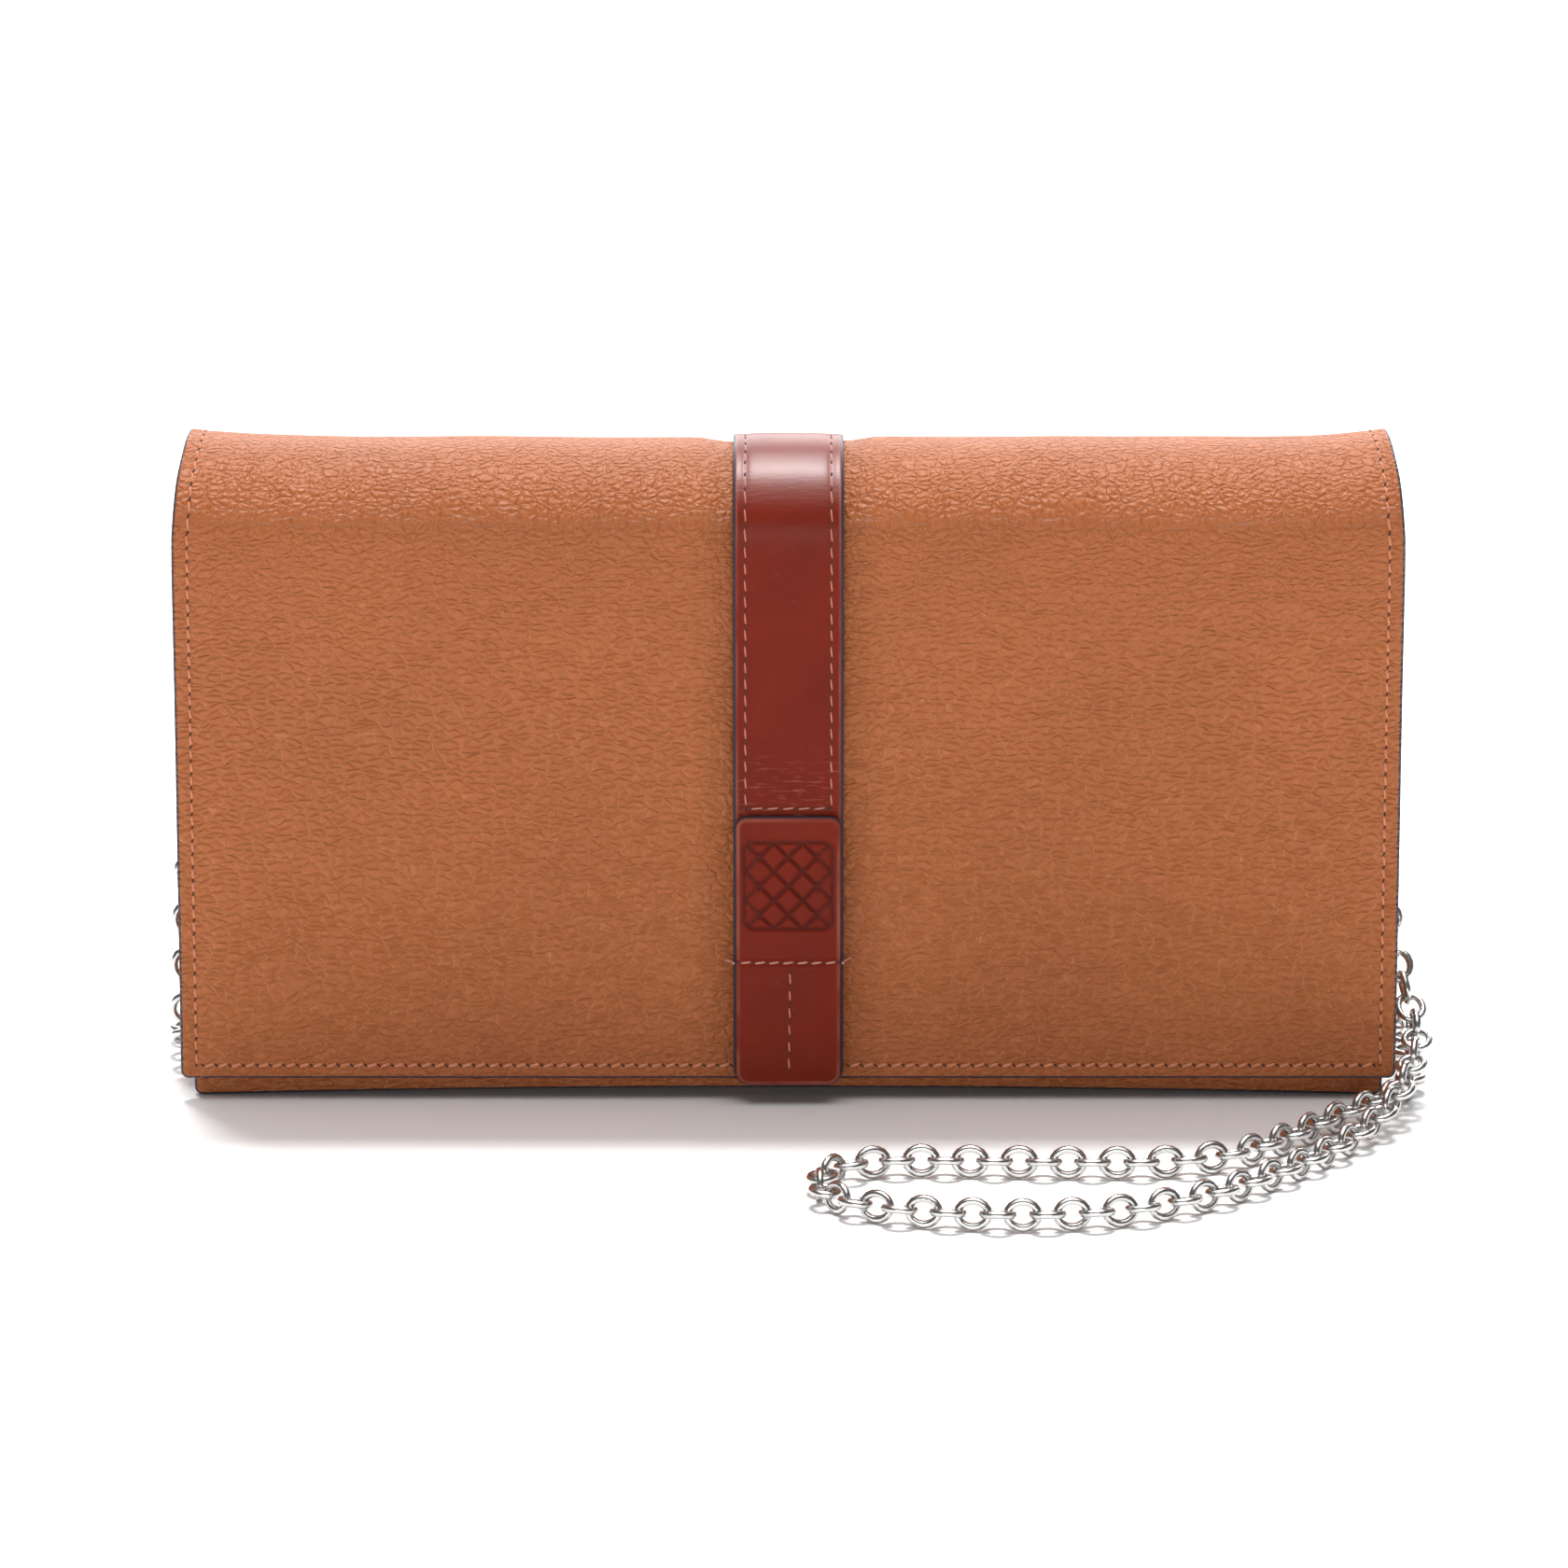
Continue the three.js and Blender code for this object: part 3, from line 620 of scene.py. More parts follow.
# %% Sheet
class Sheet:
    """A line through the middle of a thickness, swept across a width."""

    def __init__(self, line, width, thick, place, out=1, lift=None, taper=None):
        self.line = np.array(line, float)
        steps = np.linalg.norm(np.diff(self.line, axis=0), axis=1)
        self.run = np.concatenate([[0], np.cumsum(steps)])
        self.length, self.width, self.thick = self.run[-1], width, thick
        tangent = np.gradient(self.line, self.run, axis=0)
        tangent /= np.linalg.norm(tangent, axis=1)[:, None]
        self.normal = out * np.stack([tangent[:, 1], -tangent[:, 0]], axis=1)
        self.place, self.lift, self.taper = place, lift, taper

    def points(self, u, v, height):
        """Points in space, from u across, v down and a height above the middle."""
        u, v, height = (np.array(a, float) for a in np.broadcast_arrays(u, v, height))
        if self.lift:
            height = height + self.lift(u, v)
        if self.taper:
            u = u * self.taper(v)
        flat = [np.interp(v, self.run, self.line[:, k]) +
                height * np.interp(v, self.run, self.normal[:, k]) for k in (0, 1)]
        return self.place(u, *flat)

    def build(self, name, step, corner=0.0, top_corner=0.0, joined=False, fine=True):
        """The sheet as a closed mesh. Joined means that its first end meets another sheet."""
        border = CLOSE_ROWS if fine else [0, 0.15, 0.45]
        across = spaced(self.width, step, border, border) - self.width / 2
        down = spaced(self.length, step, SEAM_ROWS if joined else border, border)
        u, v = np.meshgrid(across, down)
        side, end = self.width / 2 - np.abs(u), self.length - v
        start = np.full_like(v, 1e3) if joined else v
        depth = np.minimum(side, np.minimum(start, end))
        u, v = self.round_corners(u, v, corner, end, 1)
        u, v = self.round_corners(u, v, top_corner, start, -1)
        soft = min(0.75, self.thick * 0.6)
        half = self.thick / 2 * np.sqrt(1 - 0.88 * (1 - np.clip(depth / soft, 0, 1)) ** 2)
        top = self.points(u, v, half).reshape(-1, 3)
        under = self.points(u, v, -half).reshape(-1, 3)
        obj = new_object(name, np.vstack([top, under]), sheet_faces(*u.shape))
        dress(obj, u, v, depth, joined)
        return obj

    def round_corners(self, u, v, radius, end, way):
        if radius <= 0:
            return u, v
        a = np.clip(radius - (self.width / 2 - np.abs(u)), 0, None)
        b = np.clip(radius - end, 0, None)
        both = (a > 0) & (b > 0)
        pull = np.where(both, np.maximum(a, b) / np.maximum(np.hypot(a, b), 1e-9), 1)
        u = u - np.sign(u) * a * (1 - pull)
        return u, v - way * b * (1 - pull)


def sheet_faces(rows, columns):
    """Faces for two grids of points, one over the other, and the strip that joins their borders."""
    grid = np.arange(rows * columns).reshape(rows, columns)
    a, b = grid[:-1, :-1].ravel(), grid[:-1, 1:].ravel()
    c, d = grid[1:, 1:].ravel(), grid[1:, :-1].ravel()
    lower = rows * columns
    faces = list(zip(a, b, c, d)) + list(zip(a + lower, d + lower, c + lower, b + lower))
    loop = np.concatenate([grid[0, :-1], grid[:-1, -1], grid[-1, :0:-1], grid[:0:-1, 0]])
    after = np.roll(loop, -1)
    faces += list(zip(after, loop, loop + lower, after + lower))
    return [tuple(int(i) for i in face) for face in faces]


def dress(obj, u, v, depth, joined):
    """Keeps a sheet's border distance and UV map, and turns its faces outwards."""
    mesh = obj.data
    count = u.size
    mesh.attributes.new("edge", "FLOAT", "POINT").data.foreach_set(
        "value", np.tile(depth.ravel(), 2).astype(np.float32))
    corner = np.empty(len(mesh.loops), np.int32)
    mesh.loops.foreach_get("vertex_index", corner)
    flat = np.stack([u.ravel(), v.ravel()], axis=1) * MM
    uv = mesh.uv_layers.new(name="sheet")
    uv.data.foreach_set("uv", flat[corner % count].astype(np.float32).ravel())
    if joined:
        ends = np.empty(len(mesh.edges) * 2, np.int32)
        mesh.edges.foreach_get("vertices", ends)
        on_seam = (ends.reshape(-1, 2) % count < u.shape[1]).all(axis=1)
        mesh.attributes.new("sharp_edge", "BOOLEAN", "EDGE").data.foreach_set("value", on_seam)
    work = bmesh.new()
    work.from_mesh(mesh)
    bmesh.ops.recalc_face_normals(work, faces=work.faces)
    work.to_mesh(mesh)
    work.free()


def upright(u, y, z):
    """Puts a sheet's width along X."""
    return np.stack([u, y, z], axis=-1)


# %% [markdown]
# ## Leather finishes
# The tan leather is a soft calf with a full grain: little cells, wider than they are tall, with creases
# between them that catch light on their lower lips. That light is painted: the creases are coloured pale
# as a painted highlight, and fine wrinkles and the leather beside the strap are coloured darker as painted
# shade. Voronoi cells make that pattern, with noise to bend it, so no two cells match. The russet leather
# is smooth and polished, with hair-fine lines. Cut edges are sanded and painted dark, and the border
# distance says where.

# %% Colours
def srgb(*parts):
    """A colour from 0 to 255 as the shader wants it."""
    def linear(c):
        c /= 255
        return c / 12.92 if c <= 0.04045 else ((c + 0.055) / 1.055) ** 2.4
    return tuple(linear(c) for c in parts)


TAN = srgb(170, 93, 43)
TAN_TONE_AND_SHADE = srgb(150, 79, 35)
TAN_PAINTED_HIGHLIGHT = srgb(220, 152, 98)
RUSSET = srgb(117, 29, 6)
RUSSET_DEEP = srgb(98, 25, 9)
RUSSET_DARK = srgb(62, 16, 10)
RUSSET_PALE = srgb(190, 118, 98)
EDGE_PAINT = srgb(62, 52, 60)
SUEDE = srgb(176, 118, 78)


# %% Grained leather
def bent_map(finish, where, bends):
    """A place moved about by noise: pairs of how many waves a metre, and how far in millimetres."""
    for waves_per_metre, far in bends:
        drift = finish.node("ShaderNodeTexNoise", Vector=where, Scale=waves_per_metre,
                            Detail=1.0).outputs["Color"]
        step = finish.node("ShaderNodeVectorMath", {"operation": "MULTIPLY_ADD"})
        finish.tree.links.new(drift, step.inputs[0])
        step.inputs[1].default_value = (far * MM, far * MM, far * MM)
        finish.tree.links.new(where, step.inputs[2])
        where = step.outputs[0]
    return where


def cells(finish, where, wide, tall):
    """How far a point is from the border of its cell, for cells of a width and height in mm."""
    scaled = finish.stretched(where, (1000 / wide, 1000 / tall, 1000 / tall))
    node = finish.node("ShaderNodeTexVoronoi", {"voronoi_dimensions": "2D", "feature": "DISTANCE_TO_EDGE"},
                       Vector=scaled, Scale=1.0)
    return Value(finish, node.outputs["Distance"])


def grained_leather(name, cover, painted=0.42):
    """Tan grain, with painted highlights on its creases and painted shade in its wrinkles. On the cover it
    turns to fine pebbles at the fold and is pinched beside the strap, with painted shade there.
    """
    finish = Finish(name, TAN, 0.5, Specular_IOR_Level=0.42)
    where = finish.sheet_map()
    bent = bent_map(finish, where, ((60.0, 3.0), (300.0, 1.4), (900.0, 0.45)))
    large, small = cells(finish, bent, 2.3, 1.15), cells(finish, bent, 1.25, 0.9)
    long_wave = finish.noise(1.0, 1.0, finish.stretched(bent, (120.0, 520.0, 520.0)))
    patchy = finish.noise(150.0, 2.0, where)
    pores = finish.noise(4200.0, 2.0, where)
    tone = finish.noise(34.0, 3.0, where)
    fold = pinch = 0.0
    if cover:
        fold = finish.axis("Y", where).step(0.050, 0.012)
        pinch = finish.axis("X", where).abs().step(0.0165, 0.0095)
    ripple = (long_wave - 0.5).abs().step(0.022, 0.0) * patchy.step(0.62, 0.4)
    crease = (large.step(0.055, 0.0) * patchy.step(0.15, 0.45) + ripple * 0.3).clamped()
    wrinkle = small.step(0.16, 0.0) * (patchy.step(0.72, 0.42) * 0.12 + fold * 0.2 + pinch * 0.5)
    color = finish.mix(tone.step(0.2, 0.85) * 0.45, TAN, TAN_TONE_AND_SHADE)
    # Painted highlight: the creases are coloured pale where their lower lips would catch the light, less
    # so at the fold.
    color = finish.mix((crease * (1 - fold * 0.6) * 0.48).clamped(), color, TAN_PAINTED_HIGHLIGHT)
    # Painted shade: fine wrinkles and the strip beside the strap are coloured darker, where shade falls in
    # them.
    color = finish.mix((wrinkle * 0.35 + pinch * 0.4).clamped(), color, TAN_TONE_AND_SHADE)
    rim = finish.attribute("edge")
    paint = rim.step(painted + 0.1, painted - 0.08)
    color = finish.mix(paint, color, EDGE_PAINT)
    finish.set("Base Color", color)
    finish.set("Roughness", 0.47 + pores * 0.12 + crease * 0.06 - paint * 0.1)
    domes = large.step(0.0, 0.4) * (1 - fold * 0.4) * 0.6 + small.step(0.0, 0.42) * (fold * 0.18 + 0.12)
    finish.bump(domes - crease * 0.3 - wrinkle * 0.25 + pores * 0.07, 0.33, 1.0)
    return finish.material


TAN_COVER = grained_leather("tan cover leather", cover=True)
TAN_LEATHER = grained_leather("tan grained leather", cover=False)


# %% Smooth leather
def smooth_leather(name, on_sheet=True, painted=0.5, strap=False):
    finish = Finish(name, RUSSET, 0.42, Specular_IOR_Level=0.12, Coat_Roughness=0.36)
    where = finish.sheet_map() if on_sheet else finish.place
    lines = finish.noise(1.0, 3.0, finish.stretched(where, (330.0, 1900.0, 1900.0)))
    pores = finish.noise(3800.0, 2.0, where)
    tone = finish.noise(60.0, 3.0, where)
    scuff = finish.noise(240.0, 5.0, where)
    color = finish.mix(tone.step(0.3, 0.75) * 0.7, RUSSET, RUSSET_DEEP)
    color = finish.mix(scuff.step(0.63, 0.8) * 0.16, color, RUSSET_PALE)
    rough = 0.4 + pores * 0.1 + scuff.step(0.5, 0.8) * 0.12
    relief = lines * 0.35 + pores * 0.25
    if strap:
        down = finish.axis("Y", where)
        bending = down.step(0.040, 0.020) * down.step(0.004, 0.012)
        stop = (down - 0.066).abs().step(0.010, 0.003)
        relief = relief + (lines - 0.5) * (bending + stop * 0.7) * 1.6
        color = finish.mix(((lines - 0.55) * stop * 1.6).clamped(), color, RUSSET_PALE)
        finish.set("Coat Weight", down.step(0.026, 0.012) * 0.55)
    if on_sheet:
        rim, groove = finish.attribute("edge"), finish.attribute("pressed")
        color = finish.mix((groove * 0.75).clamped(), color, RUSSET_DARK)
        # Pale rims: partly rubbed wear, partly a painted highlight where the rounded edges catch the
        # light.
        wear_and_highlight = rim.step(1.0, 0.5) * tone.step(0.3, 0.6)
        color = finish.mix(wear_and_highlight * 0.35, color, RUSSET_PALE)
        color = finish.mix(rim.step(painted + 0.08, painted - 0.08), color, EDGE_PAINT)
    finish.set("Base Color", color)
    finish.set("Roughness", rough)
    finish.bump(relief, 0.08, 0.7)
    return finish.material


RUSSET_LEATHER = smooth_leather("russet smooth leather", strap=True)
RUSSET_PLATE = smooth_leather("russet pressed leather", painted=0.22)

# %% [markdown]
# ## The cover
# One piece of tan leather goes up the back, over the top and down the front. It bends at two folds, and
# the cover is made as two halves that meet on the crest, point for point; both halves stay where they are
# made and follow no body. The leather swells beside the strap, which holds it down, and lifts at the two
# top corners where the fold pulls it. Both are added as a height over the sheet, which keeps the thickness
# even, where moving points by hand would not.

# %% The cover's line
roof_low, roof_high = box("roof_leather")
flap_low, flap_high = box("flap_leather")
back_low, back_high = box("back_panel")
lining_low, lining_high = box("flap_lining")
CREST_Y = (roof_low[1] + roof_high[1]) / 2
FOLD_Z = roof_low[2]
LEATHER = flap_high[1] - flap_low[1]
FLAP_WIDTH = flap_high[0] - flap_low[0]
BACK_WIDTH = back_high[0] - back_low[0]


def over_the_top(fold_y, crest, end_z):
    """A line from the crest, round a quarter of an ellipse, and straight down."""
    turn = np.radians(np.linspace(90, 0, 60))
    curve = np.stack([CREST_Y + (fold_y - CREST_Y) * np.cos(turn),
                      FOLD_Z + (crest - FOLD_Z) * np.sin(turn)], axis=1)
    drop = [(fold_y, z) for z in np.linspace(FOLD_Z, end_z, 40)[1:]]
    return np.vstack([curve, drop])


# %% How the leather swells
STRAP_HALF = 9.0
EDGE_ROW, BOTTOM_ROW = 2.6, 2.3
FOLD_ARC = 20.0
FRONT_BULGE, BACK_BULGE = 1.5, 0.5


def waves(u, v):
    """Slow unevenness, under a fifth of a millimetre."""
    return (0.11 * np.sin(u / 11.3 + v / 17) * np.sin(v / 13 - u / 31 + 1) +
            0.07 * np.sin(u / 6.1 + 2 * np.sin(v / 9)) * np.sin(v / 7.3 + u / 23))


def bulge(v, amount):
    """The fold is rounder than its frame: it stands out most where the top turns down."""
    return amount * smooth(v, 7, 21) * (1 - smooth(v, 19, 52))


def swell(length, width, row, amount):
    """How far the cover stands out: puffed beside the strap, lifted at its corners, sunk at seams."""
    def lift(u, v):
        side, end = width / 2 - np.abs(u), length - v
        below = smooth(v, FOLD_ARC - 8, FOLD_ARC + 8)
        puff = np.interp(v, [0, FOLD_ARC, FOLD_ARC + 30, length - 16, length - 5, length],
                         [0.75, 0.9, 0.8, 0.55, 0.12, 0])
        puff = puff * smooth(np.abs(u), STRAP_HALF + 0.2, STRAP_HALF + 6.5)
        puff = puff * (1 - below * (1 - np.interp(side, [0, 2, 7], [0, 0.12, 1])))
        corner = 1.5 * np.exp(-np.maximum(side, 0) / 9) * (1 - smooth(v, 0, FOLD_ARC))
        calm = smooth(np.minimum(side, end), 1, 9)
        seam = 0.14 * (np.exp(-((side - EDGE_ROW) / 0.5) ** 2) + row * np.exp(
            -((end - BOTTOM_ROW) / 0.5) ** 2)) * smooth(np.minimum(side, end), 1.2, 2.0)
        return puff + corner + bulge(v, amount) + waves(u, v) * calm - seam
    return lift


def crest_taper(v):
    """The cover is narrower over the crest than at the flap."""
    return np.interp(v, [0, 6, 12, 20, 26], [0.978, 0.984, 0.992, 0.999, 1.0])


# %% Make the cover
front_line = over_the_top(flap_low[1] + LEATHER / 2, roof_high[2] - LEATHER / 2, flap_low[2])
back_line = over_the_top(back_high[1] - LEATHER / 2, roof_high[2] - LEATHER / 2, back_low[2])
front_length = Sheet(front_line, 1, 1, upright).length
back_length = Sheet(back_line, 1, 1, upright).length


def back_taper(v):
    return np.interp(v, [0, 6, 12, 20, 26], [0.998, 0.998, 1.0, 1.0, 1.0])


cover_front = Sheet(front_line, FLAP_WIDTH, LEATHER, upright, 1,
                    swell(front_length, FLAP_WIDTH, 1, FRONT_BULGE), crest_taper)
cover_back = Sheet(back_line, BACK_WIDTH, LEATHER, upright, -1,
                   swell(back_length, BACK_WIDTH, 1, BACK_BULGE), back_taper)
front_leather = cover_front.build("cover_front", 1.7, corner=1.3, joined=True)
back_leather = cover_back.build("cover_back", 1.9, corner=1.5, joined=True)
for piece in (front_leather, back_leather):
    piece.data.materials.append(TAN_COVER)
    print(piece.name, len(piece.data.polygons), "faces")


def follow_front(piece, slot):
    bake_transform(piece)


def follow_back(piece, slot):
    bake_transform(piece)


follow_front(front_leather, "outer_leather")
follow_back(back_leather, "outer_leather")
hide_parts("roof_leather", "flap_leather")
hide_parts("back_panel")

# %% [markdown]
# ## The strap
# The russet strap is sewn on over the cover, from low on the back, over the top, to the flap's bottom. It
# is a sheet like the cover, slightly crowned between its two rows of stitches, and made in two halves as
# the cover is.

# %% Strap
strap_low, strap_high = box("strap_front")
rear_low, rear_high = box("strap_back")
STRAP = strap_high[1] - strap_low[1]
CREST_DROP = 0.25
strap_crest = box("strap_top")[1][2] - CREST_DROP
STRAP_ROW = 2.0


def strap_crown(width, amount):
    def lift(u, v):
        side = width / 2 - np.abs(u)
        crown = 0.12 * smooth(side, 1.2, 5) + bulge(v * 0.93, amount)
        return crown - 0.16 * np.exp(-((side - STRAP_ROW) / 0.4) ** 2) * smooth(side, 1, 1.6)
    return lift


strap_front = Sheet(over_the_top(strap_low[1] + STRAP / 2, strap_crest - STRAP / 2, strap_low[2]),
                    2 * STRAP_HALF, STRAP, upright, 1, strap_crown(2 * STRAP_HALF, FRONT_BULGE))
strap_rear = Sheet(over_the_top(rear_high[1] - STRAP / 2, strap_crest - STRAP / 2, rear_low[2]),
                   2 * STRAP_HALF, STRAP, upright, -1, strap_crown(2 * STRAP_HALF, BACK_BULGE))
front_strap = strap_front.build("strap_front_half", 1.2, corner=1.5, joined=True)
rear_strap = strap_rear.build("strap_back_half", 1.2, corner=1.5, joined=True)
for piece in (front_strap, rear_strap):
    piece.data.materials.append(RUSSET_LEATHER)
follow_front(front_strap, "trim_leather")
follow_back(rear_strap, "trim_leather")
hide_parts("strap_top", "strap_front")
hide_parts("strap_back")
print(f"strap: {strap_front.length + strap_rear.length:.0f} mm long, {2 * STRAP_HALF:.0f} mm wide")

# %% [markdown]
# ## The tab
# A thicker square of the russet leather ends the strap. It is pressed hot with a pattern, here a
# plain trellis of lozenges in a frame, and a row of stitches crosses it below the pattern. Pressing
# is real relief: each point of a fine grid is lowered where it lies near a line of the pattern, and
# how far is kept as an attribute that darkens the grooves.

# %% The tab's relief
plate_low, plate_high = box("tab_plate")
PLATE_WIDTH = plate_high[0] - plate_low[0]
PLATE = plate_high[1] - plate_low[1]
PLATE_TOP = plate_high[2]
PLATE_LENGTH = plate_high[2] - plate_low[2]
PATTERN = {"middle": 11.5, "half_wide": 7.1, "half_tall": 7.3, "line": 0.2, "cell": 2 / 3,
           "corner": 1.4}
CROSS_ROW = 24.6


def trellis(u, v):
    """1 on the lines of the pressed pattern, 0 away from them."""
    x, y = u, v - PATTERN["middle"]
    wide, tall, line = PATTERN["half_wide"], PATTERN["half_tall"], PATTERN["line"]
    corner, cell = PATTERN["corner"], PATTERN["cell"]
    out = np.hypot(np.maximum(np.abs(x) - wide + corner, 0), np.maximum(np.abs(y) - tall + corner, 0))
    inside = np.minimum(np.maximum(np.abs(x) - wide + corner, np.abs(y) - tall + corner), 0)
    from_frame = out + inside - corner
    lattice = [np.abs((x / wide + way * y / tall + cell / 2) % cell - cell / 2) * wide * 0.7
               for way in (-1, 1)]
    lattice = np.where(from_frame < 0, np.minimum(*lattice), 9)
    near = np.minimum(np.abs(from_frame), lattice)
    return 1 - smooth(near, line * 0.7, line * 1.9)


def plate_relief(u, v):
    side = PLATE_WIDTH / 2 - np.abs(u)
    rim = np.minimum(side, np.minimum(v, PLATE_LENGTH - v))
    dome = 0.22 * smooth(rim, 0.6, 4)
    crossing = 0.3 * np.exp(-((v - CROSS_ROW) / 0.55) ** 2)
    ripple = 0.1 * np.exp(-((v - CROSS_ROW - 1.9 - 0.25 * np.sin(u / 1.7)) / 0.4) ** 2)
    return dome - 0.32 * trellis(u, v) - crossing - ripple + 0.02 * np.sin(u * 1.9 + v * 0.6)


plate = Sheet([(plate_low[1] + PLATE / 2, z) for z in np.linspace(PLATE_TOP, plate_low[2], 40)],
              PLATE_WIDTH, PLATE, upright, 1, plate_relief)
tab = plate.build("tab_pressed", 0.26, corner=2.4, top_corner=1.9)
uv = np.empty(len(tab.data.loops) * 2, np.float32)
tab.data.uv_layers["sheet"].data.foreach_get("uv", uv)
corner_of = np.empty(len(tab.data.loops), np.int32)
tab.data.loops.foreach_get("vertex_index", corner_of)
across_down = np.zeros((len(tab.data.vertices), 2))
across_down[corner_of] = uv.reshape(-1, 2) / MM
tab.data.attributes.new("pressed", "FLOAT", "POINT").data.foreach_set(
    "value", trellis(across_down[:, 0], across_down[:, 1]).astype(np.float32))
tab.data.materials.append(RUSSET_PLATE)
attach(tab, "flap")
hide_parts("tab_plate")
print("tab:", len(tab.data.polygons), "faces")

# %% [markdown]
# ## Stitches
# Waxed thread goes in and out of slanted holes, so a row shows as short slanted arches with dark nicks
# between them. The nicks are dark marks that paint the shade in the holes. A node tree bends one arch of
# thread and copies it to every place along a row, and a second tree does the same with a nick. A texture
# could draw a row, but real thread catches the light at the folds and round the edges.

# %% Thread and nicks
def thread_material(name, color):
    finish = Finish(name, color, 0.5, Sheen_Weight=0.15)
    fibres = finish.noise(9000, 2.0)
    finish.set("Base Color", finish.mix(fibres.step(0.3, 0.75), color, tuple(c * 0.55 for c in color)))
    finish.set("Roughness", 0.45 + fibres * 0.2)
    finish.bump(fibres, 0.04, 0.7)
    return finish.material


def nick_material():
    # Painted shade: a nick's dark colour stands for the shade inside a stitch hole, mottled a little.
    dark = srgb(58, 26, 18)
    finish = Finish("stitch nicks", dark, 0.8)
    hole_shade_mottle = finish.noise(3000, 2.0)
    finish.set("Base Color", finish.mix(hole_shade_mottle, dark, srgb(92, 44, 28)))
    return finish.material


PALE_THREAD = thread_material("salmon thread", srgb(222, 142, 102))
PINK_THREAD = thread_material("pink thread", srgb(208, 138, 118))
NICKS = nick_material()


# %% Stitch trees
def thread_tree(material):
    tree = Tree("thread " + material.name, {
        "Length": ("NodeSocketFloat", 1.8 * MM),
        "Thread": ("NodeSocketFloat", 0.5 * MM),
    })
    half = tree.math("MULTIPLY", tree.input("Length"), 0.5)
    low = tree.math("MULTIPLY", tree.input("Thread"), -0.55)
    high = tree.math("MULTIPLY", tree.input("Thread"), 0.75)
    ends = [tree.node("ShaderNodeCombineXYZ", X=x, Z=low).outputs[0]
            for x in (tree.math("MULTIPLY", half, -1.0), half)]
    middle = tree.node("ShaderNodeCombineXYZ", Z=high).outputs[0]
    arch = tree.node("GeometryNodeCurveQuadraticBezier", Resolution=5, Start=ends[0], Middle=middle,
                     End=ends[1])
    section = tree.node("GeometryNodeCurvePrimitiveCircle", {"mode": "RADIUS"}, Resolution=6,
                        Radius=tree.math("MULTIPLY", tree.input("Thread"), 0.5))
    thread = tree.node("GeometryNodeCurveToMesh", Curve=arch.outputs[0],
                       Profile_Curve=section.outputs[0], Fill_Caps=True)
    return tree.copies(thread.outputs[0], upward(tree), material)


def upward(tree):
    """Facing gives Y as the upper side; a stitch is drawn with Z up, so it is rolled back."""
    quarter = tree.node("FunctionNodeAxisAngleToRotation", Axis=(1.0, 0.0, 0.0), Angle=-math.pi / 2)
    return tree.node("FunctionNodeRotateRotation", {"rotation_space": "LOCAL"},
                     Rotation=tree.facing(), Rotate_By=quarter.outputs[0]).outputs[0]


def nick_tree():
    tree = Tree("nicks", {"Size": ("NodeSocketVector", (0.5 * MM, 0.21 * MM, 0.12 * MM))})
    ball = tree.node("GeometryNodeMeshUVSphere", Segments=8, Rings=5, Radius=1.0)
    flat = tree.node("GeometryNodeTransform", Geometry=ball.outputs[0], Scale=tree.input("Size"))
    return tree.copies(flat.outputs[0], upward(tree), NICKS)


PALE_STITCH, PINK_STITCH, NICK = thread_tree(PALE_THREAD), thread_tree(PINK_THREAD), nick_tree()


# %% A row of stitches on a sheet
def turned(along, up, degrees):
    angle = math.radians(degrees)
    return along * math.cos(angle) + np.cross(up, along) * math.sin(angle)


def row_places(sheet, line, at_share, height):
    """Places along a line of (u, v) points on a sheet's upper side, at shares of its length."""
    line = np.array(line, float)
    run = np.concatenate([[0], np.cumsum(np.linalg.norm(np.diff(line, axis=0), axis=1))])
    at = at_share * run[-1]
    u, v = (np.interp(at, run, line[:, k]) for k in (0, 1))
    du, dv = (line[-1] - line[0]) / np.linalg.norm(line[-1] - line[0]) * 0.3
    top = sheet.thick / 2 + height
    place = sheet.points(u, v, top)
    along = sheet.points(u + du, v + dv, top) - sheet.points(u - du, v - dv, top)
    up = sheet.points(u, v, top + 1) - place
    return place, along / np.linalg.norm(along, axis=1)[:, None], up


def sew(name, rows, tree, follow, thread, pitch=2.25, slant=12, share=0.78, nick=35):
    """Rows of stitches as one piece of thread and one of nicks. Each row is a sheet and a line."""
    threads, nicks = [], []
    for sheet, line in rows:
        length = np.sum(np.linalg.norm(np.diff(np.array(line, float), axis=0), axis=1))
        count = max(1, round(length / pitch))
        place, along, up = row_places(sheet, line, (np.arange(count) + 0.5) / count, 0.02)
        threads.append((place, turned(along, up, slant), up))
        place, along, up = row_places(sheet, line, np.arange(count + 1) / count, 0.0)
        nicks.append((place, turned(along, up, -nick), up))
    made = []
    for label, parts, kind, sizes in (
            ("thread", threads, tree, {"Length": pitch * share * MM, "Thread": thread * MM}),
            ("nicks", nicks, NICK, {})):
        place, along, up = (np.vstack(k) for k in zip(*parts))
        made.append(run_tree(point_cloud(f"{name}_{label}", place, along=along, up=up), kind, **sizes))
    for piece in made:
        follow(piece)
    print(f"{name}: {sum(len(t[0]) for t in threads)} stitches")


def on_body(body):
    def follow(piece):
        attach(piece, body)
    return follow


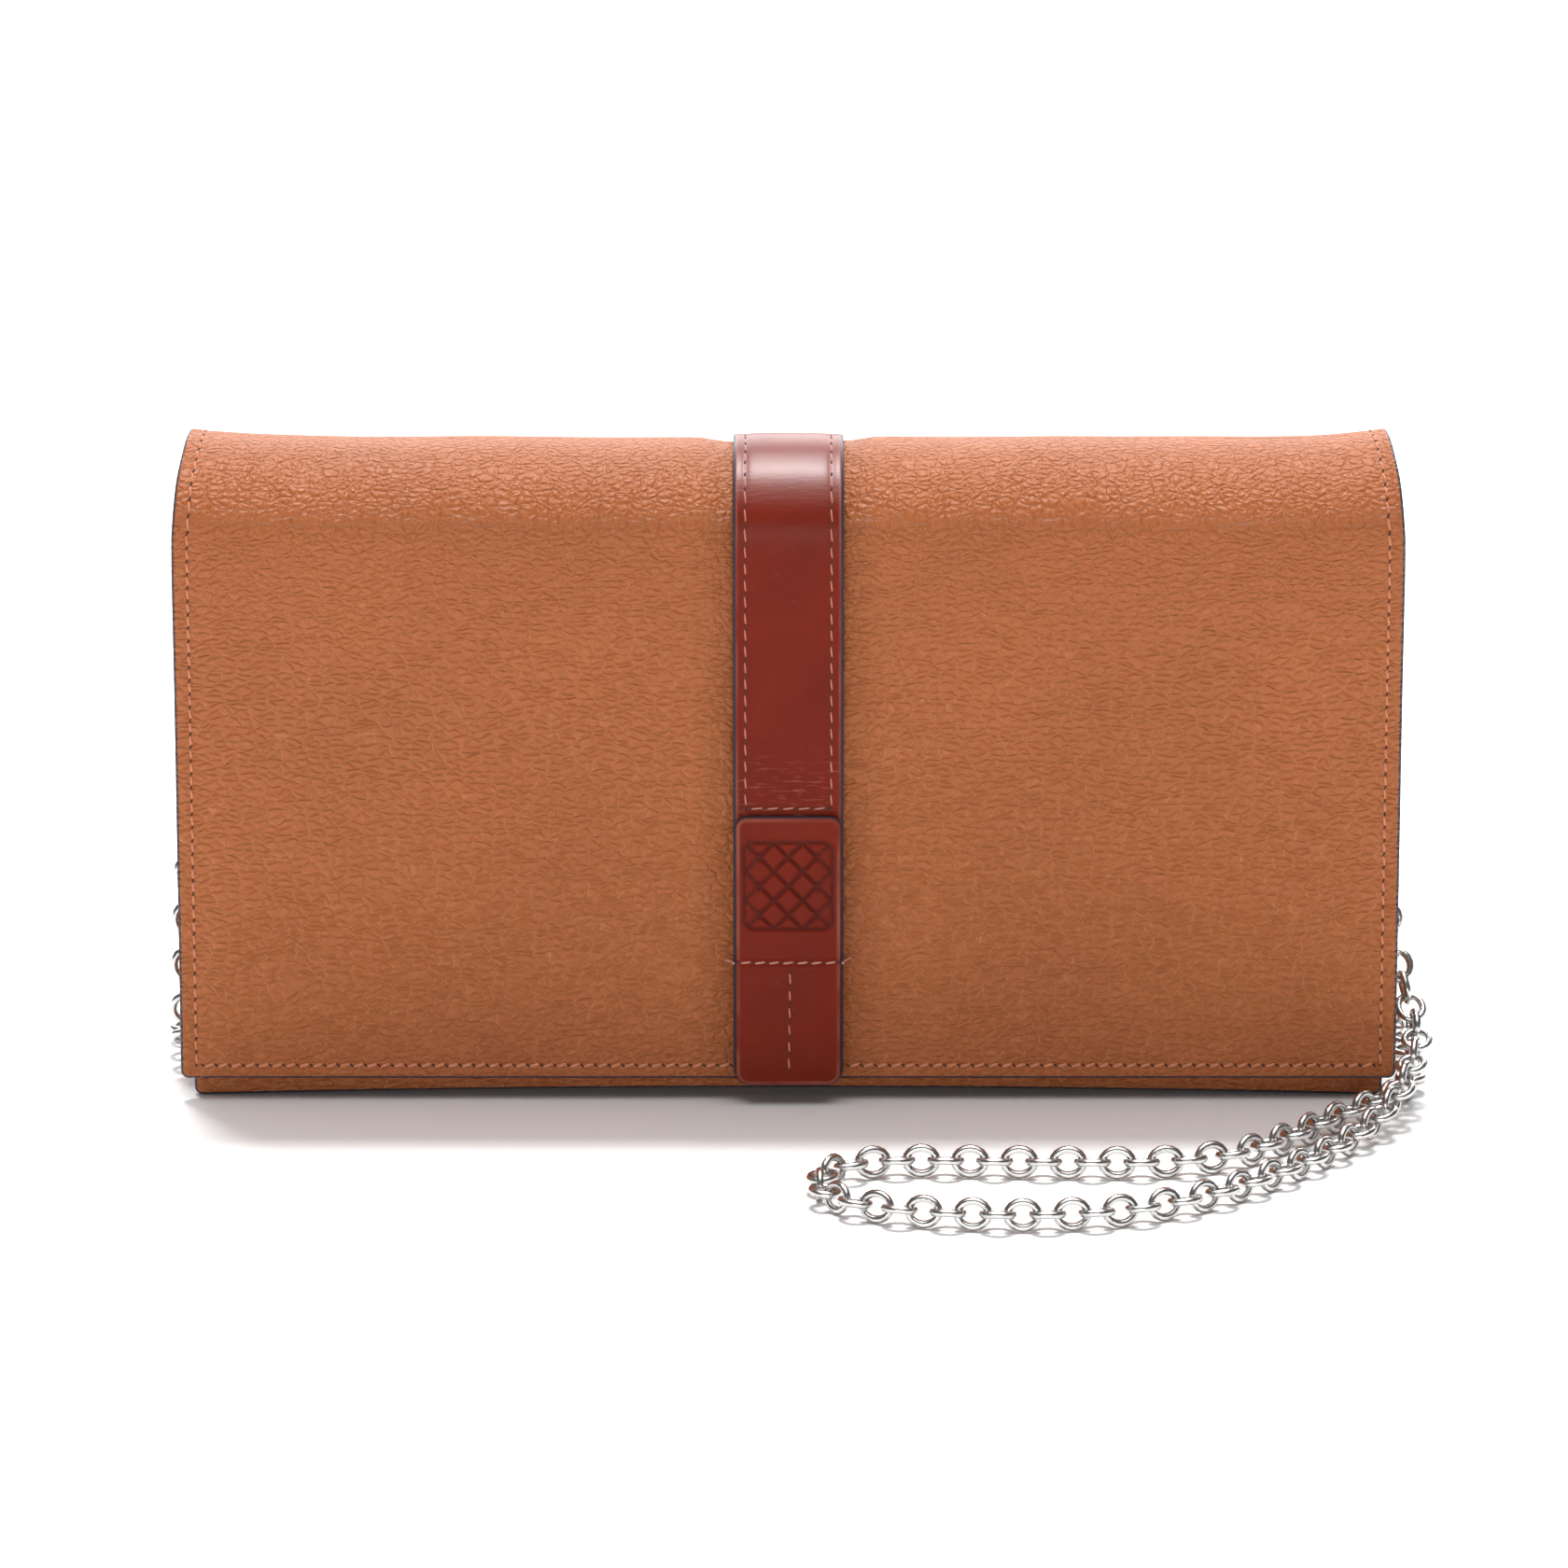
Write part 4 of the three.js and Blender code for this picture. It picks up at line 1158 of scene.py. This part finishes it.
# %% Sew the cover
half = FLAP_WIDTH / 2 - EDGE_ROW
hem = front_length - BOTTOM_ROW
sew("flap_stitching",
    [(cover_front, [(-half, 1.2), (-half, hem)]), (cover_front, [(half, 1.2), (half, hem)])],
    PALE_STITCH, lambda p: follow_front(p, "outer_leather"), thread=0.4, slant=8, nick=20)
sew("flap_hem_stitching",
    [(cover_front, [(-half + 1, hem), (-9.4, hem)]), (cover_front, [(9.8, hem), (half - 1, hem)])],
    PALE_STITCH, on_body("flap"), thread=0.52, slant=19, nick=46)
half, hem = BACK_WIDTH / 2 - EDGE_ROW, back_length - BOTTOM_ROW
sew("back_stitching",
    [(cover_back, [(-half, 1.2), (-half, hem)]), (cover_back, [(half, 1.2), (half, hem)]),
     (cover_back, [(-half + 1, hem), (-9.6, hem)]), (cover_back, [(9.6, hem), (half - 1, hem)])],
    PALE_STITCH, lambda p: follow_back(p, "outer_leather"), thread=0.45)

# %% Sew the strap and the tab
row = STRAP_HALF - STRAP_ROW
strap_stop = strap_front.length - (PLATE_TOP + 1.1 - strap_low[2])
rear_stop = strap_rear.length - STRAP_ROW
sew("strap_front_stitching",
    [(strap_front, [(-row, 0.8), (-row, strap_stop)]), (strap_front, [(row, 0.8), (row, strap_stop)]),
     (strap_front, [(-row + 0.6, strap_stop), (row - 0.6, strap_stop)])],
    PINK_STITCH, lambda p: follow_front(p, "trim_leather"), pitch=2.8, slant=6, thread=0.27,
    share=0.72, nick=6)
sew("strap_back_stitching",
    [(strap_rear, [(-row, 0.8), (-row, rear_stop)]), (strap_rear, [(row, 0.8), (row, rear_stop)]),
     (strap_rear, [(-row + 0.6, rear_stop), (row - 0.6, rear_stop)])],
    PINK_STITCH, lambda p: follow_back(p, "trim_leather"), pitch=2.8, slant=6, thread=0.27,
    share=0.72, nick=6)
sew("tab_stitching", [(plate, [(-8.1, CROSS_ROW), (8.1, CROSS_ROW)])], PINK_STITCH,
    on_body("flap"), pitch=2.3, slant=9, thread=0.42, share=0.8, nick=30)
sew("tab_middle_stitching", [(plate, [(0.3, CROSS_ROW + 1.2), (0.1, PLATE_LENGTH - 2.4)])],
    PINK_STITCH, on_body("flap"), pitch=2.75, slant=4, thread=0.26, share=0.6, nick=3)

# %% The cross row's loose ends
tip_z = PLATE_TOP - CROSS_ROW
plate_y = plate_low[1] - 0.05
cover_y = flap_low[1] - 0.15
ends_place, ends_along, ends_up = [], [], []
for sign in (-1, 1):
    start = np.array([sign * 8.1, plate_y, tip_z])
    stop = np.array([sign * 9.7, cover_y, tip_z + 0.2 * sign])
    ends_place.append((start + stop) / 2 + np.array([sign * 0.5, -0.3, 0]))
    ends_along.append((stop - start) / np.linalg.norm(stop - start))
    ends_up.append(np.cross(ends_along[-1], (0, 0, -sign)))
loose = run_tree(point_cloud("tab_thread_ends", ends_place, along=ends_along, up=ends_up), PINK_STITCH,
                 Length=2.9 * MM, Thread=0.4 * MM)
on_body("flap")(loose)

# %% [markdown]
# ## The front panel and the base
# Behind the flap the front panel shows as a strip under the flap's lower edge. Its bottom edge bows
# up a little in the middle, as leather does that is stretched over a frame, so the wallet stands on
# its corners. The same bow is given to the base and the front panel by their placing function.

# %% Panels that bow
BOW = 1.2


def bowed(u, y, z):
    rise = BOW * (1 - np.clip(np.abs(u) / 97, 0, 1) ** 2) * (1 - np.clip(z / 60, 0, 1)) ** 2
    return np.stack([u, y, z + rise], axis=-1)


def panel_sheet(node, place=upright, lift=None):
    """A flat upright sheet that fills a node's box."""
    low, high = box(node)
    middle = (low[1] + high[1]) / 2
    centre = (low[0] + high[0]) / 2
    line = [(middle, z) for z in np.linspace(high[2], low[2], 30)]
    return Sheet(line, high[0] - low[0], high[1] - low[1],
                 lambda u, y, z: place(u + centre, y, z), 1, lift)


def panel_lift(width, length):
    def lift(u, v):
        side = width / 2 - np.abs(u)
        rim = np.minimum(side, np.minimum(v, length - v))
        return waves(u, v) * 0.6 * smooth(rim, 1, 9) - 0.12 * np.exp(-((rim - 2.2) / 0.5) ** 2)
    return lift


# %% Front panel and base
panel_low, panel_high = box("front_panel")
front_sheet = panel_sheet("front_panel", bowed, panel_lift(BACK_WIDTH, panel_high[2] - panel_low[2]))
front_piece = front_sheet.build("front_panel_leather", 3.0, corner=1.3, top_corner=2.0)
front_piece.data.materials.append(TAN_LEATHER)
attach(front_piece, "front")
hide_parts("front_panel")

base_low, base_high = box("bottom_panel")
base_middle = (base_low[2] + base_high[2]) / 2
base_sheet = Sheet([(y, base_middle) for y in np.linspace(base_low[1], base_high[1], 12)],
                   base_high[0] - base_low[0], base_high[2] - base_low[2], bowed, -1)
base = base_sheet.build("base_leather", 3.0)
base.data.materials.append(TAN_LEATHER)
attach(base, "shell")
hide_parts("bottom_panel")

half, foot = BACK_WIDTH / 2 - 2.2, front_sheet.length - 3.1
sew("front_panel_stitching",
    [(front_sheet, [(-half, 2.2), (-half, foot)]), (front_sheet, [(half, 2.2), (half, foot)]),
     (front_sheet, [(-half + 1, foot), (half - 1, foot)]),
     (front_sheet, [(-half + 1, 2.2), (half - 1, 2.2)])],
    PALE_STITCH, on_body("front"), thread=0.45)

# %% [markdown]
# ## Linings
# The inside is faced with thin suede split. Under the cover it runs over the top in two halves, as
# the cover does. Suede has no grain of its own: it is short fibres that lie in patches, so its
# finish is soft noise at two sizes, very rough, with a little sheen.

# %% Suede
def suede(name, color):
    finish = Finish(name, color, 0.92, Sheen_Weight=0.3, Sheen_Roughness=0.5, Specular_IOR_Level=0.2)
    nap = finish.noise(90, 3.0)
    fibre = finish.noise(2600, 2.0)
    shade = tuple(c * 0.7 for c in color)
    finish.set("Base Color", finish.mix((nap.step(0.3, 0.7) * 0.6 + fibre * 0.4).clamped(), color, shade))
    finish.set("Roughness", 0.88 + fibre * 0.1)
    finish.bump(fibre, 0.08, 0.6)
    return finish.material


SUEDE_LINING = suede("tan suede", SUEDE)

# %% Linings over the top and behind
roof_lining_high = box("roof_lining")[1][2]
rear_lining_low, rear_lining_high = box("back_lining")
THIN = lining_high[1] - lining_low[1]
halves = {
    "cover_lining_front": (lining_low[1] + THIN / 2, lining_low[2], 1, lining_high[0] - lining_low[0]),
    "cover_lining_back": (rear_lining_high[1] - THIN / 2, rear_lining_low[2], -1,
                          rear_lining_high[0] - rear_lining_low[0]),
}


LINING_TUCK = 0.4


def lining_lift(length, width, amount):
    """As the cover's, and a little further in round the fold, where the cover bends inward."""
    cover_lift = swell(length, width, 0, amount)
    return lambda u, v: cover_lift(u, v) - LINING_TUCK * (1 - smooth(v, FOLD_ARC + 2, FOLD_ARC + 12))


for name, (fold_y, end_z, out, width) in halves.items():
    line = over_the_top(fold_y, roof_lining_high - THIN / 2, end_z)
    length = Sheet(line, 1, 1, upright).length
    lift = lining_lift(length, width, FRONT_BULGE if out > 0 else BACK_BULGE)
    lining_sheet = Sheet(line, width, THIN, upright, out, lift, crest_taper if out > 0 else None)
    lining = lining_sheet.build(name, 5.0, corner=2.0, joined=True, fine=False)
    lining.data.materials.append(SUEDE_LINING)
    (follow_front if out > 0 else follow_back)(lining, "lining_suede")
    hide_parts(*(("flap_lining", "roof_lining") if out > 0 else ("back_lining",)))
front_lining = panel_sheet("front_lining").build("front_panel_lining", 8.0, corner=2.0, fine=False)
front_lining.data.materials.append(SUEDE_LINING)
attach(front_lining, "front")
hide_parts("front_lining")

# %% [markdown]
# ## Card slots and the zipped pocket
# Four tiers of card slots stand on each side of the back, and a flat pocket with a zip stands in the
# middle. They are thin sheets of the same tan leather with painted top edges.

# %% Slots and pocket walls
inner = {f"card_slot_{side}_{tier}": "shell" for side in ("left", "right") for tier in range(1, 5)}
inner.update({"pocket_wall_front": "pocket", "pocket_wall_back": "pocket"})
inside_sheets = {}
for node, body in inner.items():
    low, high = box(node)
    lift = panel_lift(high[0] - low[0], high[2] - low[2]) if body == "pocket" else None
    inside_sheets[node] = panel_sheet(node, upright, lift)
    piece = inside_sheets[node].build(node + "_leather", 4.0, corner=0.5, top_corner=2.5,
                                      fine=body == "pocket")
    piece.data.materials.append(TAN_LEATHER)
    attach(piece, body)
    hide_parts(node)
wall = inside_sheets["pocket_wall_front"]
sew("pocket_stitching",
    [(wall, [(x, 2.2), (x, wall.length - 2.2)]) for x in (-87.3, 87.3)] +
    [(wall, [(-86.3, 2.2), (86.3, 2.2)])],
    PALE_STITCH, on_body("pocket"), thread=0.42)
for side in ("left", "right"):
    rows = []
    for tier in range(1, 5):
        slot = inside_sheets[f"card_slot_{side}_{tier}"]
        rows += [(slot, [(x, 1.6), (x, 10.4)]) for x in (-slot.width / 2 + 1.8, slot.width / 2 - 1.8)]
        rows.append((slot, [(-slot.width / 2 + 2.6, 1.6), (slot.width / 2 - 2.6, 1.6)]))
    sew(f"card_slot_stitching_{side}", rows, PALE_STITCH, on_body("shell"), thread=0.26)

# %% Pocket frame and gussets
wall_low, wall_high = box("pocket_frame")
RIM = 1.2
side_x, floor_z = wall_high[0] - RIM / 2, wall_low[2] + RIM / 2
bend = [(side_x - 3 + 3 * math.cos(a), floor_z + 3 + 3 * math.sin(a))
        for a in np.radians(np.linspace(0, -90, 8))]
right = [(side_x, z) for z in np.linspace(wall_high[2], floor_z + 4, 20)] + bend
u_line = right + [(x, floor_z) for x in np.linspace(side_x - 8, 0, 20)]
u_line += [(-x, z) for x, z in u_line[-2::-1]]
frame_y = (wall_low[1] + wall_high[1]) / 2
frame_sheet = Sheet(u_line, wall_high[1] - wall_low[1], RIM,
                    lambda u, x, z: np.stack([x, u + frame_y, z], axis=-1))
pocket_frame = frame_sheet.build("pocket_frame_leather", 2.5, fine=False)
pocket_frame.data.materials.append(TAN_LEATHER)
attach(pocket_frame, "pocket")
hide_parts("pocket_frame")


def gusset(node, body, start, sign):
    """A leaf from a panel's edge to the fold beside the pocket, curved inwards a little."""
    low, high = box(node)
    front = body == "front"
    outer = (high[0] if sign > 0 else -low[0]) - 0.5
    inner_x = (low[0] if sign > 0 else -high[0]) + 0.5
    y0, y1 = (low[1] + 0.5, high[1] - 0.4) if front else (high[1] - 0.5, low[1] + 0.4)
    share = np.linspace(0, 1, 14)
    x = outer + (inner_x - outer) * share ** 0.8
    line = np.stack([sign * x, y0 + (y1 - y0) * share], axis=1)
    middle = (low[2] + high[2]) / 2
    leaf = Sheet(line, high[2] - low[2], 0.8, lambda u, x, y: np.stack([x, y, middle + u], axis=-1))
    piece = leaf.build(node + "_leather", 3.0, corner=0.4, top_corner=0.4)
    piece.data.materials.append(TAN_LEATHER)
    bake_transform(piece)
    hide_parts(node)


fold_y = MID_Y * MM
front_y = panel_high[1] * MM
slots_y = rear_lining_low[1] * MM
for side, sign in (("left", -1), ("right", 1)):
    gusset(f"gusset_back_{side}", "pocket", (0, slots_y, 0.04), sign)
    gusset(f"gusset_front_{side}", "front", (0, 2 * fold_y - front_y, 0.04), sign)
print("gussets and pocket frame made")

# %% [markdown]
# ## The zip
# Two woven tapes are sewn to the pocket's top, each with a row of metal teeth that mesh down the
# middle. A tooth is a rounded nub, so a node tree squashes a ball and copies it along each row.

# %% Zip tapes
def woven(name, color):
    finish = Finish(name, color, 0.8, Sheen_Weight=0.2)
    warp = finish.axis("X") * 7000
    weft = finish.axis("Y") * 7000
    weave = (warp.sin() * weft.sin() * 0.5 + 0.5).clamped()
    finish.set("Base Color", finish.mix(weave, color, tuple(c * 0.5 for c in color)))
    finish.set("Roughness", 0.75 + weave * 0.15)
    finish.bump(weave, 0.1, 0.8)
    return finish.material


TAPE = woven("woven zip tape", srgb(132, 84, 54))
for side in ("front", "back"):
    low, high = box("zip_tape_" + side)
    middle = (low[1] + high[1]) / 2
    tape = Sheet([(x, (low[2] + high[2]) / 2) for x in np.linspace(low[0], high[0], 60)],
                 high[1] - low[1], high[2] - low[2],
                 lambda u, x, z: np.stack([x, u + middle, z], axis=-1), -1)
    piece = tape.build(f"zip_tape_{side}_woven", 1.0, fine=False)
    piece.data.materials.append(TAPE)
    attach(piece, "pocket")
    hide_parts("zip_tape_" + side)


# %% Zip teeth
def tooth_tree():
    tree = Tree("zip teeth", {"Size": ("NodeSocketVector", (0.5 * MM, 1.0 * MM, 0.85 * MM))})
    ball = tree.node("GeometryNodeMeshUVSphere", Segments=8, Rings=6, Radius=1.0)
    tooth = tree.node("GeometryNodeTransform", Geometry=ball.outputs[0], Scale=tree.input("Size"))
    return tree.copies(tooth.outputs[0], upward(tree), NICKEL)


TEETH = tooth_tree()
TOOTH_PITCH = 1.9
for side, shift in (("front", 0.0), ("back", 0.5)):
    low, high = box("zip_teeth_" + side)
    reach = 0.5 * (1 if side == "front" else -1)
    xs = np.arange(low[0] + 0.6 + shift * TOOTH_PITCH, high[0] - 0.4, TOOTH_PITCH)
    places = [(x, (low[1] + high[1]) / 2 + reach, (low[2] + high[2]) / 2) for x in xs]
    teeth = point_cloud(f"zip_teeth_{side}_row", places, along=[(1, 0, 0)] * len(xs),
                        up=[(0, 0, 1)] * len(xs))
    run_tree(teeth, TEETH)
    on_body("pocket")(teeth)
    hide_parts("zip_teeth_" + side)
print("zip:", 2 * len(xs), "teeth")

# %% [markdown]
# ## Finishes for the solid metal and the tabs
# The rings, snap hooks, gates, zip slider, pull and stops have the right shape already, so they keep their
# solids; all but the gates get a finish. The ring tabs are small loops of the russet leather.

# %% Finish the carried solids
def dark_steel():
    finish = Finish("magnet steel", (0.3, 0.3, 0.31), 0.35, 1.0)
    turned_marks = finish.noise(1800, 3.0)
    finish.set("Roughness", 0.3 + turned_marks * 0.2)
    finish.bump(turned_marks, 0.02, 0.5)
    return finish.material


MAGNET_STEEL = dark_steel()
TAB_LEATHER = smooth_leather("russet loop leather", on_sheet=False)
finishes = {"d_ring": NICKEL, "clasp": NICKEL, "zip_slider": NICKEL, "zip_pull": NICKEL,
            "zip_stop": NICKEL, "flap_magnet": MAGNET_STEEL, "keeper_disc": MAGNET_STEEL,
            "ring_tab": TAB_LEATHER}
for node, obj in frame["nodes"].items():
    for start, material in finishes.items():
        if node.startswith(start):
            obj.data.materials.clear()
            obj.data.materials.append(material)

# %% [markdown]
# ## Light and floor
# Two sun lamps stand high behind the wallet, left and right, and a wide pale panel glows behind it,
# so the fold's top is bright. Sun lamps are even over a wide floor, and their angle sets how soft the
# shadow's edge is. A third, very soft, lights the top from above. A low lamp in front lights the flap
# but hardly touches the floor, and a dim even surround fills the rest. The floor is a plain pale sheet.

# %% Lamps
bpy.context.scene.view_settings.view_transform = "Standard"


def aimed(name, kind, place, aim, power):
    data = bpy.data.lights.new(name, kind)
    data.energy = power
    obj = bpy.data.objects.new(name, data)
    obj.location = place
    way = np.array(aim, float) - np.array(place, float)
    flat = math.hypot(way[0], way[1])
    obj.rotation_euler = (math.atan2(flat, -way[2]), 0, math.atan2(way[1], way[0]) - math.pi / 2)
    bpy.context.scene.collection.objects.link(obj)
    return data


for name, side in (("high left", -1), ("high right", 1)):
    high = aimed(name, "SUN", (side * 0.1, 0.3, 1.1), (0, 0, 0), 1.8)
    high.angle = math.radians(9)
overhead = aimed("overhead", "SUN", (0, -0.08, 1.0), (0, 0, 0), 1.6)
overhead.angle = math.radians(60)
low = aimed("low front", "AREA", (-0.12, -1.3, 0.17), (0, 0, 0.05), 4.3)
low.shape, low.size, low.size_y = "RECTANGLE", 1.3, 0.3
glow = aimed("glow behind", "AREA", (0, 1.3, 0.75), (0, 0, 0.1), 24.0)
glow.shape, glow.size, glow.size_y = "RECTANGLE", 2.0, 0.9
world = bpy.data.worlds.new("white studio")
bpy.context.scene.world = world
world.use_nodes = True
world.node_tree.nodes["Background"].inputs["Color"].default_value = (1, 1, 1, 1)
world.node_tree.nodes["Background"].inputs["Strength"].default_value = 0.12

# %% Floor
floor_finish = Finish("studio floor", (0.9, 0.9, 0.9), 0.75, Specular_IOR_Level=0.1)
mottle = floor_finish.noise(3, 2.0)
floor_finish.set("Base Color", floor_finish.mix(mottle, (0.9, 0.9, 0.9), (0.88, 0.88, 0.885)))
floor_finish.set("Roughness", 0.7 + mottle * 0.1)
FLOOR_HALF, FLOOR_TILES, FLOOR_LOW = 5000, 8, -0.05
FLOOR_ROW = FLOOR_TILES + 1
grid = np.linspace(-FLOOR_HALF, FLOOR_HALF, FLOOR_ROW)
floor_points = [(x, y, FLOOR_LOW) for y in grid for x in grid]
tile_corners = [row * FLOOR_ROW + column for row in range(FLOOR_TILES) for column in range(FLOOR_TILES)]
floor_faces = [(c, c + 1, c + FLOOR_ROW + 1, c + FLOOR_ROW) for c in tile_corners]
studio_floor = new_object("studio_floor", floor_points, floor_faces)
studio_floor.data.materials.append(floor_finish.material)
